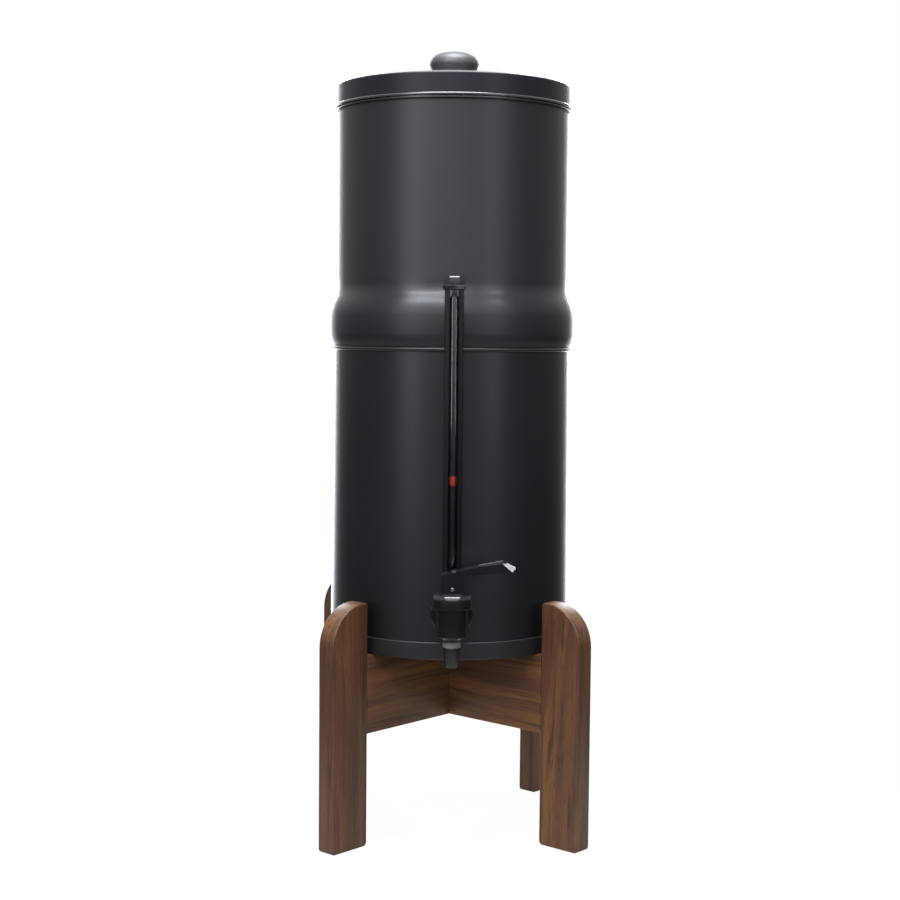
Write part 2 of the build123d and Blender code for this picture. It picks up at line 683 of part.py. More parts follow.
nut_face = INNER_FACE + INNER_WASHER
with BuildPart() as inner_washer:
    add(shank_disc(nut_face, INNER_FACE - SHEET, INNER_WASHER_R, SHANK_R + FIXING_GAP))
    add(wall_space(-SHEET - FIT), mode=Mode.INTERSECT)
finish(inner_washer.part, "tap_washer_inner")

with BuildPart() as lock_nut:
    with BuildSketch(Plane(origin=(0, nut_face, SHANK_Z), x_dir=(1, 0, 0), z_dir=(0, 1, 0))):
        RegularPolygon(NUT_FLAT / 2, 6, major_radius=False)
        Circle(SHANK_R + FIT, mode=Mode.SUBTRACT)
    extrude(amount=NUT_HEIGHT)
    fillet(lock_nut.edges().filter_by(Axis.Y), radius=NUT_EASE)
finish(lock_nut.part, "tap_lock_nut")

finish(shank_disc(EYELET_FRONT, SEAL_FRONT, TAP_SEAL_R, SHANK_R + FIXING_GAP), "gauge_front_seal")

bonnet_roof = collar_top + BONNET_SEAL
with BuildPart() as tap_bonnet:
    with BuildSketch(Plane.XY.offset(BODY_TOP + CONTACT_GAP)):
        with Locations((0, TAP_Y)):
            RegularPolygon(BONNET_APOTHEM, BONNET_SIDES, major_radius=False, rotation=180 / BONNET_SIDES)
    extrude(amount=BONNET_HEIGHT - CONTACT_GAP)
    bonnet_top = tap_bonnet.faces().sort_by(Axis.Z)[-1]
    chamfer(bonnet_top.edges(), length=BONNET_BEVEL_IN, length2=BONNET_BEVEL_DOWN, reference=bonnet_top)
    add(upright_tube(TAP_Y, BODY_TOP, BONNET_FACE, BONNET_R), mode=Mode.INTERSECT)
    add(upright_tube(TAP_Y, BODY_TOP, bonnet_roof, COLLAR_R + FIT), mode=Mode.SUBTRACT)
    add(upright_tube(TAP_Y, BODY_TOP, BONNET_FACE, STEM_R + RUNNING_GAP), mode=Mode.SUBTRACT)
finish(tap_bonnet.part, "tap_bonnet")

with BuildPart() as bonnet_seal:
    with BuildSketch(Plane.XY.offset(collar_top)):
        with Locations((0, TAP_Y)):
            Circle(COLLAR_R)
            Circle(CHAMBER_R, mode=Mode.SUBTRACT)
    extrude(amount=BONNET_SEAL)
finish(bonnet_seal.part, "tap_bonnet_seal")

pin_plane = Plane(origin=(0, TAP_Y, PIN_Z), x_dir=(1, 0, 0), z_dir=(0, -1, 0))
stem_collar_top = STEM_FOOT + STEM_COLLAR
with BuildPart() as tap_stem:
    add(upright_tube(TAP_Y, STEM_FOOT - CUP_SOCKET, stem_collar_top, CUP_GRIP_R))
    add(upright_tube(TAP_Y, STEM_FOOT, stem_collar_top, STEM_COLLAR_R))
    add(upright_tube(TAP_Y, STEM_FOOT, PIN_Z + STEM_R, STEM_R))
    fillet(tap_stem.edges().group_by(Axis.Z)[-1], radius=STEM_R / 3)
    with BuildSketch(pin_plane):
        Circle(PIN_R + FIT)
    extrude(amount=LEVER_BLOCK, both=True, mode=Mode.SUBTRACT)
finish(tap_stem.part, "tap_stem")

with BuildPart() as seat_cup:
    add(upright_tube(TAP_Y, CUP_FOOT, STEM_FOOT, CUP_R))
    fillet(seat_cup.edges().filter_by(GeomType.CIRCLE), radius=CUP_EASE)
    add(upright_tube(TAP_Y, STEM_FOOT - CUP_SOCKET, STEM_FOOT, CUP_GRIP_R + FIT), mode=Mode.SUBTRACT)
finish(seat_cup.part, "tap_seat_cup")

spring_foot = stem_collar_top + SPRING_WIRE / 2 + FIT
spring_height = bonnet_roof - SPRING_WIRE / 2 - FIT - spring_foot
with BuildPart() as spring:
    with BuildLine() as coil:
        Helix(
            pitch=spring_height / SPRING_TURNS,
            height=spring_height,
            radius=SPRING_R,
            center=(0, TAP_Y, spring_foot),
        )
    with BuildSketch(Plane(origin=coil.line @ 0, z_dir=coil.line % 0)):
        Circle(SPRING_WIRE / 2)
    sweep(path=coil.line, is_frenet=True)
finish(spring.part, "tap_spring")

foot_z = BONNET_FACE + CONTACT_GAP
with BuildPart() as lever:
    with BuildSketch(TAP_PLANE):
        with BuildLine():
            FilletPolyline(
                (-LEVER_HALF, foot_z),
                (LEVER_HALF, foot_z),
                (LEVER_HALF, BONNET_FACE + LEVER_MID_UNDER - LEVER_FOOT_R),
                (LEVER_MID, BONNET_FACE + LEVER_MID_UNDER),
                (LEVER_REACH - LEVER_END_INSET, BONNET_FACE + LEVER_END_UNDER),
                (LEVER_REACH, BONNET_FACE + LEVER_TIP_LOW),
                (LEVER_REACH, BONNET_FACE + LEVER_TIP_HIGH),
                (LEVER_REACH - LEVER_END_BEVEL, BONNET_FACE + LEVER_END_TOP),
                (LEVER_MID, BONNET_FACE + LEVER_MID_TOP),
                (-LEVER_HALF, BONNET_FACE + LEVER_BLOCK_TOP),
                radius=[
                    LEVER_FOOT_R, LEVER_FOOT_R, LEVER_FOOT_R, LEVER_SWEEP_R, LEVER_EASE,
                    LEVER_EASE, LEVER_EASE, LEVER_EASE, LEVER_SWEEP_R, LEVER_EASE,
                ],
                close=True,
            )
        make_face()
    extrude(amount=LEVER_PADDLE, both=True)
    with BuildSketch(Plane.XY):
        with BuildLine():
            FilletPolyline(
                (-LEVER_HALF, TAP_Y - LEVER_BLOCK / 2),
                (LEVER_HALF, TAP_Y - LEVER_BLOCK / 2),
                (LEVER_REACH, TAP_Y - LEVER_PADDLE / 2),
                (LEVER_REACH, TAP_Y + LEVER_PADDLE / 2),
                (LEVER_HALF, TAP_Y + LEVER_BLOCK / 2),
                (-LEVER_HALF, TAP_Y + LEVER_BLOCK / 2),
                radius=[
                    LEVER_EASE, LEVER_SWEEP_R, LEVER_PADDLE_R,
                    LEVER_PADDLE_R, LEVER_SWEEP_R, LEVER_EASE,
                ],
                close=True,
            )
        make_face()
    extrude(amount=BONNET_FACE + 2 * LEVER_END_TOP, mode=Mode.INTERSECT)
    pocket_height = LEVER_POCKET_TOP - CONTACT_GAP
    with Locations((0, TAP_Y, foot_z + pocket_height / 2)):
        Box(2 * LEVER_POCKET_HALF, 2 * (STEM_R + CONTACT_GAP), pocket_height, mode=Mode.SUBTRACT)
    with BuildSketch(pin_plane):
        Circle(PIN_R + RUNNING_GAP)
    extrude(amount=LEVER_BLOCK, both=True, mode=Mode.SUBTRACT)
finish(lever.part, "tap_lever")

with BuildPart() as pin:
    with BuildSketch(pin_plane):
        Circle(PIN_R)
    extrude(amount=LEVER_BLOCK / 2 + PIN_PROUD, both=True)
    chamfer(pin.edges().filter_by(GeomType.CIRCLE), length=PIN_PROUD)
finish(pin.part, "tap_lever_pin")

# ---- Sight gauge ---------------------------------------------------------------
flange_clear = SHANK_Z + TAP_FLANGE_R + CONTACT_GAP
slot_head = GAUGE_TOP - SLOT_HEAD
slot_foot = SHANK_Z + SLOT_FOOT
slot_mid = (slot_head + slot_foot) / 2
with BuildPart() as gauge_housing:
    add(shank_disc(EYELET_BACK, EYELET_FRONT, EYELET_R))
    fillet(gauge_housing.edges().filter_by(GeomType.CIRCLE), radius=EYELET_EASE)
    add(upright_tube(GAUGE_Y, SHANK_Z, GAUGE_TOP, GAUGE_R))
    with Locations((0, EYELET_FRONT, flange_clear)):
        Box(
            2 * EYELET_R, EYELET, EYELET_R * 2,
            align=(Align.CENTER, Align.MAX, Align.MAX), mode=Mode.SUBTRACT,
        )
    add(shank_disc(EYELET_BACK, EYELET_FRONT, SHANK_R + FIXING_GAP), mode=Mode.SUBTRACT)
    groove_back = feed_y + EYELET_GROOVE / 2
    add(shank_disc(groove_back, groove_back - EYELET_GROOVE, EYELET_GROOVE_R), mode=Mode.SUBTRACT)
    add(upright_tube(GAUGE_Y, SHANK_Z, GAUGE_TOP, FEED_R), mode=Mode.SUBTRACT)
    add(upright_tube(GAUGE_Y, GLASS_FOOT, GAUGE_TOP, GLASS_R + GLASS_GAP), mode=Mode.SUBTRACT)
    add(upright_tube(GAUGE_Y, GLASS_FOOT, GLASS_FOOT + SEAL_RING, SEAL_RING_R), mode=Mode.SUBTRACT)
    with BuildSketch(Plane.XZ.offset(-GAUGE_Y)):
        with Locations((0, slot_mid)):
            SlotOverall(slot_head - slot_foot, SLOT_WIDTH, rotation=90)
    extrude(amount=2 * GAUGE_R, both=True, mode=Mode.SUBTRACT)
finish(gauge_housing.part, "gauge_housing")

with BuildPart() as gauge_glass:
    add(upright_tube(GAUGE_Y, GLASS_FOOT, GLASS_TOP, GLASS_R))
    add(upright_tube(GAUGE_Y, GLASS_FOOT, GLASS_TOP, GLASS_BORE_R), mode=Mode.SUBTRACT)
finish(gauge_glass.part, "gauge_glass")

with BuildPart() as glass_seal:
    add(upright_tube(GAUGE_Y, GLASS_FOOT, GLASS_FOOT + SEAL_RING - FIT, SEAL_RING_R - FIT))
    add(upright_tube(GAUGE_Y, GLASS_FOOT, GLASS_FOOT + SEAL_RING, GLASS_R + FIT), mode=Mode.SUBTRACT)
finish(glass_seal.part, "gauge_glass_seal")

float_z = SHANK_Z + FLOAT_RISE
with BuildPart() as gauge_float:
    add(upright_tube(GAUGE_Y, float_z - FLOAT_LENGTH / 2, float_z + FLOAT_LENGTH / 2, FLOAT_R))
    fillet(gauge_float.edges().filter_by(GeomType.CIRCLE), radius=FLOAT_EDGE_R)
finish(gauge_float.part, "gauge_float")

collar_foot = GAUGE_TOP + CONTACT_GAP
hex_foot = GAUGE_TOP + CAP_COLLAR
with BuildPart() as gauge_cap:
    add(upright_tube(GAUGE_Y, collar_foot, hex_foot, CAP_COLLAR_R))
    with BuildSketch(Plane.XY.offset(collar_foot)):
        with Locations((0, GAUGE_Y)):
            with PolarLocations(CAP_COLLAR_R, CAP_FLUTES):
                Circle(CAP_FLUTE_R)
    extrude(amount=CAP_COLLAR, mode=Mode.SUBTRACT)
    with BuildSketch(Plane.XY.offset(hex_foot)):
        with Locations((0, GAUGE_Y)):
            RegularPolygon(CAP_HEX_R, 6)
    extrude(amount=CAP_HEX)
    chamfer(gauge_cap.faces().sort_by(Axis.Z)[-1].edges(), length=CAP_BEVEL)
    add(upright_tube(GAUGE_Y, GAUGE_TOP - CAP_PLUG, collar_foot, GLASS_BORE_R - GLASS_GAP))
    add(upright_tube(GAUGE_Y, GAUGE_TOP - CAP_PLUG, hex_foot + CAP_HEX, CAP_VENT_R), mode=Mode.SUBTRACT)
finish(gauge_cap.part, "gauge_cap")
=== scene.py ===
"""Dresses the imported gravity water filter: meshes, finishes, studio and camera."""
from __future__ import annotations

import json
import logging
import math
from dataclasses import dataclass, field
from enum import Enum
from typing import Any, Iterable, Mapping, NamedTuple, Sequence, Union

import bmesh
import bpy
from mathutils import Matrix, Vector

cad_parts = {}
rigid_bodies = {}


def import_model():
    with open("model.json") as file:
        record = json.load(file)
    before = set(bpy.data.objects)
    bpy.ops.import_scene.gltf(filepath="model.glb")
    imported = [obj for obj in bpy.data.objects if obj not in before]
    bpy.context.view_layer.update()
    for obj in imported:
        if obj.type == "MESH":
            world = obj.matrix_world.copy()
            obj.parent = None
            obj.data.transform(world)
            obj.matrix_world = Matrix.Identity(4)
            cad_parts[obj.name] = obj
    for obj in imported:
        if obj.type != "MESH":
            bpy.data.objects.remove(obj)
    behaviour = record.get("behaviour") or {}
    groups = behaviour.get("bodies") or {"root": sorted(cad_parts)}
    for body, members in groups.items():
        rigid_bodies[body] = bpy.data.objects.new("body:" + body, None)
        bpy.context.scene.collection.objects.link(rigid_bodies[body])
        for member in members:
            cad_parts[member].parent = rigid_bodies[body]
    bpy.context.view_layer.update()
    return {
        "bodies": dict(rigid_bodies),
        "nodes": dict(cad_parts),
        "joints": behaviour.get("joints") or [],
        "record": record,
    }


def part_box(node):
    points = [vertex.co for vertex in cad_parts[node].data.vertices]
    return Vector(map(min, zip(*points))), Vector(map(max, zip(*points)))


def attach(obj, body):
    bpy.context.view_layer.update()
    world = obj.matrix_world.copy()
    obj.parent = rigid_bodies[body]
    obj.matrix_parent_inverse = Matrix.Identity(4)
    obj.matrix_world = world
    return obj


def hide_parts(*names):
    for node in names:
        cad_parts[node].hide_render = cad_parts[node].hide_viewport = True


LOG = logging.getLogger("water_filter")
MM = 0.001
VESSEL_STEPS = 256      # divisions around a vessel
SMALL_STEPS = 96        # divisions around a small turned piece
SHARP_ANGLE = 32.0      # degrees between two faces that shows as a sharp edge
FACET_ANGLE = 10.0      # the same on a piece whose flat facets stay flat
MERGE = 1e-4            # millimetres within which two points are one
FULL_ROUND = 0.999      # share of a half width that rounds to a half circle and leaves an edge

Triple = tuple[float, float, float]
Colour = Triple


class Body(str, Enum):
    """The bodies that new pieces ride on."""

    STAND = "stand"
    LOWER_TANK = "lower_tank"
    UPPER_TANK = "upper_tank"
    LID = "lid_group"
    LEVER = "lever"
    FLOAT = "float"


class Slot(str, Enum):
    """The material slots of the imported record."""

    WALNUT = "walnut"
    DOWEL_WOOD = "dowel_wood"
    BLACK_COAT = "black_coat"
    BLACK_RING = "black_ring"
    KNOB_PLASTIC = "knob_plastic"
    BLACK_PLASTIC = "black_plastic"
    POLISHED_STEEL = "polished_steel"
    BARE_STEEL = "bare_steel"
    RUBBER = "rubber"
    CLEAR_TUBE = "clear_tube"
    RED_FLOAT = "red_float"
    CERAMIC = "ceramic"
    CANDLE_PLASTIC = "candle_plastic"


def span(node: str) -> tuple[Vector, Vector]:
    """Find where a CAD node is.

    Args:
        node: The node's name.

    Returns:
        Its lowest and highest corners at rest, in millimetres.
    """
    low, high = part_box(node)
    return low / MM, high / MM


def middle(node: str) -> Vector:
    """Return the middle of a CAD node's box, in millimetres."""
    low, high = span(node)
    return (low + high) / 2


def upright(y: float) -> Matrix:
    """Return the frame of a turned shape whose axis stands at a distance along Y."""
    return Matrix.Translation((0, y, 0))


def lying(height: float) -> Matrix:
    """Return the frame of a turned shape whose axis lies along Y at a height."""
    return Matrix.Translation((0, 0, height)) @ Matrix.Rotation(math.radians(-90), 4, "X")


# ---- Shader graphs -----------------------------------------------------------


class Band(NamedTuple):
    """A smooth step: the range it takes and its values at both ends."""

    low: float
    high: float
    to_low: float = 0.0
    to_high: float = 1.0


class Signal:
    """A socket of a shader graph that adds, scales and compares like a number."""

    def __init__(self, graph: "Graph", socket: bpy.types.NodeSocket | None) -> None:
        """Wrap an output socket of a graph."""
        self.graph = graph
        self.socket = socket

    def _math(self, operation: str, *values: "Value") -> "Signal":
        """Add a Math node and return its result."""
        return self.graph.node("ShaderNodeMath", {"operation": operation}, dict(enumerate(values)))

    def __add__(self, other: "Value") -> "Signal":
        """Return self + other."""
        return self._math("ADD", self, other)

    __radd__ = __add__

    def __sub__(self, other: "Value") -> "Signal":
        """Return self - other."""
        return self._math("SUBTRACT", self, other)

    def __rsub__(self, other: "Value") -> "Signal":
        """Return other - self."""
        return self._math("SUBTRACT", other, self)

    def __mul__(self, other: "Value") -> "Signal":
        """Return self * other."""
        return self._math("MULTIPLY", self, other)

    __rmul__ = __mul__

    def larger(self, other: "Value") -> "Signal":
        """Return the larger of self and other."""
        return self._math("MAXIMUM", self, other)

    def band(self, low: float, high: float, to_low: float = 0.0, to_high: float = 1.0) -> "Signal":
        """Turn a range of this value smoothly into another range.

        Args:
            low: Value that becomes to_low.
            high: Value that becomes to_high.
            to_low: Result at and below low.
            to_high: Result at and above high.

        Returns:
            The ranged value.
        """
        settings = {"interpolation_type": "SMOOTHSTEP"}
        values = {"Value": self, "From Min": low, "From Max": high, "To Min": to_low, "To Max": to_high}
        return self.graph.node("ShaderNodeMapRange", settings, values)


Value = Union[Signal, float, tuple]


class Graph:
    """A node tree that is being filled."""

    def __init__(self, tree: bpy.types.NodeTree) -> None:
        """Empty the tree and start on it."""
        tree.nodes.clear()
        self.tree = tree

    def node(
        self,
        kind: str,
        settings: Mapping[str, Any] | None = None,
        values: Mapping[Union[str, int], Value] | None = None,
        output: Union[str, int] = 0,
    ) -> Signal:
        """Add any node.

        Args:
            kind: The node's type.
            settings: Properties of the node, set first.
            values: Numbers, colours or signals for its input sockets.
            output: The output socket that is returned.

        Returns:
            The chosen output.
        """
        node = self.tree.nodes.new(kind)
        for name, setting in (settings or {}).items():
            setattr(node, name, setting)
        for name, value in (values or {}).items():
            if isinstance(value, Signal):
                self.tree.links.new(value.socket, node.inputs[name])
            else:
                node.inputs[name].default_value = value
        return Signal(self, node.outputs[output] if len(node.outputs) else None)

    def place(self) -> Signal:
        """Read Object coordinates."""
        return self.node("ShaderNodeTexCoord", output="Object")

    def mapped(self, vector: Signal, **values: tuple) -> Signal:
        """Scale, turn and then move coordinates, by a Mapping node's own sockets."""
        return self.node("ShaderNodeMapping", values={"Vector": vector, **values})

    def split(self, vector: Signal) -> tuple[Signal, Signal, Signal]:
        """Return the X, Y and Z of a vector."""
        x, y, z = self.node("ShaderNodeSeparateXYZ", values={0: vector}).socket.node.outputs
        return Signal(self, x), Signal(self, y), Signal(self, z)

    def ray(self, kind: str) -> Signal:
        """Return 1 for rays of one kind and 0 for others."""
        return self.node("ShaderNodeLightPath", output=f"Is {kind} Ray")

    def noise(
        self, repeats: tuple, detail: float = 2.0, over: Signal | None = None, roughness: float = 0.5
    ) -> Signal:
        """Add Perlin noise.

        Args:
            repeats: Repeats per metre along X, Y and Z.
            detail: Octaves of finer noise.
            over: Coordinates, or none for Object coordinates.
            roughness: Share that each finer octave keeps.

        Returns:
            The noise, between about 0 and 1.
        """
        stretched = self.mapped(self.place() if over is None else over, Scale=repeats)
        values = {"Vector": stretched, "Scale": 1.0, "Detail": detail, "Roughness": roughness}
        return self.node("ShaderNodeTexNoise", values=values)

    def blend(self, mask: Value, first: Value, second: Value) -> Signal:
        """Mix two colours.

        Args:
            mask: 0 gives the first colour and 1 the second.
            first: A colour of four numbers, or a signal.
            second: A colour of four numbers, or a signal.

        Returns:
            The mixed colour.
        """
        settings = {"data_type": "RGBA", "blend_type": "MIX", "clamp_factor": True}
        first_socket, second_socket, colour_output = 6, 7, 2
        values = {0: mask, first_socket: first, second_socket: second}
        return self.node("ShaderNodeMix", settings, values, colour_output)

    def bump(self, height: Signal, depth: float, strength: float = 1.0) -> Signal:
        """Turn a height between 0 and 1 into a normal.

        Args:
            height: The height.
            depth: Millimetres between height 0 and height 1.
            strength: Share of the effect that is used.

        Returns:
            The normal.
        """
        values = {"Height": height, "Distance": depth * MM, "Strength": strength}
        return self.node("ShaderNodeBump", values=values)

    def surface(self, **values: Value) -> None:
        """Close a material with a Principled BSDF whose sockets are given by name."""
        named = {name.replace("_", " "): value for name, value in values.items()}
        shader = self.node("ShaderNodeBsdfPrincipled", values=named)
        self.node("ShaderNodeOutputMaterial", values={"Surface": shader})


def new_material(name: str) -> tuple[bpy.types.Material, Graph]:
    """Start a material with an empty graph."""
    material = bpy.data.materials.new(name)
    material.use_nodes = True
    return material, Graph(material.node_tree)


def opaque(colour: Colour, share: float = 1.0) -> tuple[float, float, float, float]:
    """Return a share of a colour as the four numbers of a socket."""
    red, green, blue = colour
    return share * red, share * green, share * blue, 1.0


# ---- Finishes ------------------------------------------------------------------

USUAL = Band(0.3, 0.7)                  # where most of a noise lies
MEAN = 0.5                              # of a noise
COOL_GLANCE = (0.90, 0.94, 1.0, 1.0)    # tint of the light that glances off the black finishes


@dataclass(frozen=True)
class PowderCoat:
    """Satin black powder coat over sheet steel."""

    name: str
    colour: Colour
    roughness: float = 0.4
    shine: float = 0.5
    flowed_above: float = 10.0  # metres; higher up the coat has flowed out glossier
    flow_blend: float = 0.0008  # metres
    flow_roughness: float = 0.10
    sleek_height: float = 0.0   # metres; height of a band that is smoother
    sleek_reach: float = 0.024  # metres
    sleek: float = 0.0          # roughness that the band lacks
    peel_size: float = 1.1      # millimetres between the dimples of the coat
    peel_depth: float = 0.012   # millimetres
    drift_repeats: tuple = (9, 9, 6)
    speck_repeats: tuple = (1500, 1500, 1500)
    drift_share: float = 0.75
    darkest: float = 0.86
    palest: float = 1.16
    drift_roughness: float = 0.06
    speck_roughness: float = 0.05

    def material(self) -> bpy.types.Material:
        """Build the coat: soft tone drift, fine dimples and a few duller patches."""
        material, graph = new_material(self.name)
        drift = graph.noise(self.drift_repeats, 3.0)
        speck = graph.noise(self.speck_repeats, 1.0)
        peel = graph.noise((1 / (self.peel_size * MM),) * 3, 1.5)
        tone = drift.band(*USUAL) * self.drift_share + speck.band(*USUAL) * (1 - self.drift_share)
        _, _, height = graph.split(graph.place())
        into = height.band(self.sleek_height - self.sleek_reach, self.sleek_height)
        out_of = height.band(self.sleek_height, self.sleek_height + self.sleek_reach, 1.0, 0.0)
        patches = (drift - MEAN) * self.drift_roughness + (speck - MEAN) * self.speck_roughness
        graph.surface(
            Coat_Weight=height.band(self.flowed_above, self.flowed_above + self.flow_blend),
            Coat_Roughness=self.flow_roughness,
            Specular_IOR_Level=self.shine,
            Specular_Tint=COOL_GLANCE,
            Base_Color=graph.blend(tone, opaque(self.colour, self.darkest), opaque(self.colour, self.palest)),
            Roughness=self.roughness - into * out_of * self.sleek + patches,
            Normal=graph.bump(peel, self.peel_depth),
        )
        return material


@dataclass(frozen=True)
class GlossPlastic:
    """Injection-moulded gloss plastic."""

    name: str
    colour: Colour
    roughness: float = 0.14
    coat: float = 0.0
    coat_roughness: float = 0.05
    shine: float = 0.5
    flow_depth: float = 0.004   # millimetres of waviness left by the mould
    flow_repeats: tuple = (110, 110, 40)
    darkest: float = 0.88
    scuff_repeats: tuple = (900, 900, 260)
    scuffs: Band = Band(0.45, 0.75, 0.0, 0.05)

    def material(self) -> bpy.types.Material:
        """Build the plastic: slight flow waves and a haze of fine scuffs."""
        material, graph = new_material(self.name)
        flow = graph.noise(self.flow_repeats, 1.0)
        scuff = graph.noise(self.scuff_repeats)
        graph.surface(
            Base_Color=graph.blend(
                flow.band(*USUAL), opaque(self.colour, self.darkest), opaque(self.colour)
            ),
            Roughness=self.roughness + scuff.band(*self.scuffs),
            Normal=graph.bump(flow, self.flow_depth),
            Coat_Weight=self.coat,
            Coat_Roughness=self.coat_roughness,
            Specular_IOR_Level=self.shine,
            Specular_Tint=COOL_GLANCE,
        )
        return material


@dataclass(frozen=True)
class Steel:
    """Bare stainless steel, brushed or polished round its turned shape."""

    name: str
    colour: Colour
    roughness: float
    lines: float                # repeats per metre of the brushing, along Z
    line_depth: float           # millimetres
    lines_round: float = 30.0   # the same round the piece
    line_tone: Band = Band(0.35, 0.65)
    darkest: float = 0.9
    cloud_repeats: tuple = (60, 60, 60)
    clouds: Band = Band(0.35, 0.7, 0.0, 0.06)

    def material(self) -> bpy.types.Material:
        """Build the steel: fine lines round the piece and a little uneven polish."""
        material, graph = new_material(self.name)
        brushed = graph.noise((self.lines_round, self.lines_round, self.lines), 3.0)
        cloud = graph.noise(self.cloud_repeats)
        graph.surface(
            Base_Color=graph.blend(
                brushed.band(*self.line_tone), opaque(self.colour, self.darkest), opaque(self.colour)
            ),
            Metallic=1.0,
            Roughness=self.roughness + cloud.band(*self.clouds),
            Normal=graph.bump(brushed, self.line_depth),
        )
        return material


@dataclass(frozen=True)
class Matte:
    """Rubber, unglazed ceramic or matt moulded plastic."""

    name: str
    colour: Colour
    roughness: float
    grain: float                # repeats per metre
    grain_depth: float          # millimetres
    mottle: float = 0.08        # share by which the tone drifts
    drift_repeats: tuple = (40, 40, 40)
    grain_share: float = 0.5
    grain_roughness: float = 0.1

    def material(self) -> bpy.types.Material:
        """Build the finish: fine grain with a slow drift of tone."""
        material, graph = new_material(self.name)
        grain = graph.noise((self.grain,) * 3, 4.0)
        drift = graph.noise(self.drift_repeats)
        tone = grain.band(*USUAL) * self.grain_share + drift.band(*USUAL) * (1 - self.grain_share)
        graph.surface(
            Base_Color=graph.blend(tone, opaque(self.colour, 1 - self.mottle), opaque(self.colour)),
            Roughness=self.roughness + (grain - MEAN) * self.grain_roughness,
            Normal=graph.bump(grain, self.grain_depth),
        )
        return material


@dataclass(frozen=True)
class ClearTube:
    """Clear drawn plastic tube."""

    name: str
    colour: Colour = (0.66, 0.68, 0.70)
    roughness: float = 0.03
    index: float = 1.06         # low, so that the float shows through it undistorted
    shine_index: float = 1.75
    shine_roughness: float = 0.06
    line_repeats: tuple = (500, 500, 12)
    lines: Band = Band(0.5, 0.8, 0.0, 0.03)
    line_depth: float = 0.002   # millimetres

    def material(self) -> bpy.types.Material:
        """Build the tube: clear, with faint lines along its length."""
        material, graph = new_material(self.name)
        lines = graph.noise(self.line_repeats, 1.0)
        graph.surface(
            Base_Color=opaque(self.colour),
            Roughness=self.roughness + lines.band(*self.lines),
            Transmission_Weight=1.0,
            IOR=self.index,
            Coat_Weight=1.0,
            Coat_IOR=self.shine_index,
            Coat_Roughness=self.shine_roughness,
            Normal=graph.bump(lines, self.line_depth),
        )
        return material


class Grain(Enum):
    """Which way the grain of a board runs, in degrees about Y from the upright."""

    UPRIGHT = 0.0
    LEVEL = 90.0


class Layer(NamedTuple):
    """One noise of the wood, in repeats per metre across and along the grain."""

    across: float
    along: float
    detail: float = 2.0
    roughness: float = 0.5


@dataclass(frozen=True)
class Walnut:
    """Oiled walnut, cut as one board."""

    name: str
    turn: float                 # degrees of the board's plan direction
    grain: Grain
    seed: float                 # moves the figure, so that no two boards match
    straw: Colour = (0.2021, 0.0843, 0.0232)
    base: Colour = (0.0894, 0.0370, 0.0159)
    ruddy: Colour = (0.1015, 0.0344, 0.0181)
    dark: Colour = (0.0241, 0.0116, 0.0073)
    seed_way: Triple = (0.37, 0.61, 1.0)
    wander: Layer = Layer(14, 3.2)
    sway: tuple[float, float] = (0.034, 0.018)  # metres that the wander moves the figure
    figure: Layer = Layer(75, 3.0, 3.0, 0.55)
    figure_shows: Band = Band(0.36, 0.66)
    patch: Layer = Layer(26, 5.0)
    patch_shows: Band = Band(0.45, 0.72, 0.0, 0.75)
    streak: Layer = Layer(260, 5.0, 2.5, 0.6)
    streak_shows: Band = Band(0.52, 0.70, 0.0, 0.8)
    fibre: Layer = Layer(1500, 30.0)
    fibre_shows: Band = Band(0.35, 0.7, 0.0, 0.28)
    pores: Layer = Layer(1150, 75.0, 1.0)
    pores_open: Band = Band(0.60, 0.70)
    pore_tone: float = 0.55
    pore_share: float = 0.65    # of the relief; the fibres have the rest
    relief_depth: float = 0.09  # millimetres
    relief_strength: float = 0.7
    roughness: float = 0.46
    fibre_roughness: float = 0.12
    pore_roughness: float = 0.15

    def material(self) -> bpy.types.Material:
        """Build the wood: drifting figure, dark streaks, fibres and open pores."""
        material, graph = new_material(self.name)
        flat = graph.mapped(graph.place(), Rotation=(0, 0, math.radians(-self.turn)))
        board = graph.mapped(
            flat,
            Rotation=(0, math.radians(self.grain.value), 0),
            Location=tuple(self.seed * way for way in self.seed_way),
        )
        wander = self._noise(graph, board, self.wander) - MEAN
        sway = graph.node(
            "ShaderNodeCombineXYZ", values={0: wander * self.sway[0], 1: wander * self.sway[1]}
        )
        swayed = graph.node("ShaderNodeVectorMath", {"operation": "ADD"}, {0: board, 1: sway})
        figure = self._noise(graph, swayed, self.figure)
        patch = self._noise(graph, board, self.patch)
        streak = self._noise(graph, swayed, self.streak)
        fibre = self._noise(graph, swayed, self.fibre)
        pores = self._noise(graph, swayed, self.pores).band(*self.pores_open)
        colour: Value = opaque(self.base)
        for mask, tint in (
            (figure.band(*self.figure_shows), self.straw),
            (patch.band(*self.patch_shows), self.ruddy),
            (streak.band(*self.streak_shows), self.dark),
            (fibre.band(*self.fibre_shows), self.dark),
            (pores * self.pore_tone, self.dark),
        ):
            colour = graph.blend(mask, colour, opaque(tint))
        relief = fibre * (1 - self.pore_share) - pores * self.pore_share + self.pore_share
        graph.surface(
            Base_Color=colour,
            Roughness=self.roughness + (fibre - MEAN) * self.fibre_roughness + pores * self.pore_roughness,
            Normal=graph.bump(relief, self.relief_depth, self.relief_strength),
        )
        return material

    @staticmethod
    def _noise(graph: Graph, board: Signal, layer: Layer) -> Signal:
        """Return one noise of the wood over the board's coordinates."""
        repeats = (layer.across, layer.across, layer.along)
        return graph.noise(repeats, layer.detail, board, layer.roughness)


Finish = Union[PowderCoat, GlossPlastic, Steel, Matte, ClearTube, Walnut]
BLACK: Colour = (0.0045, 0.0056, 0.0080)


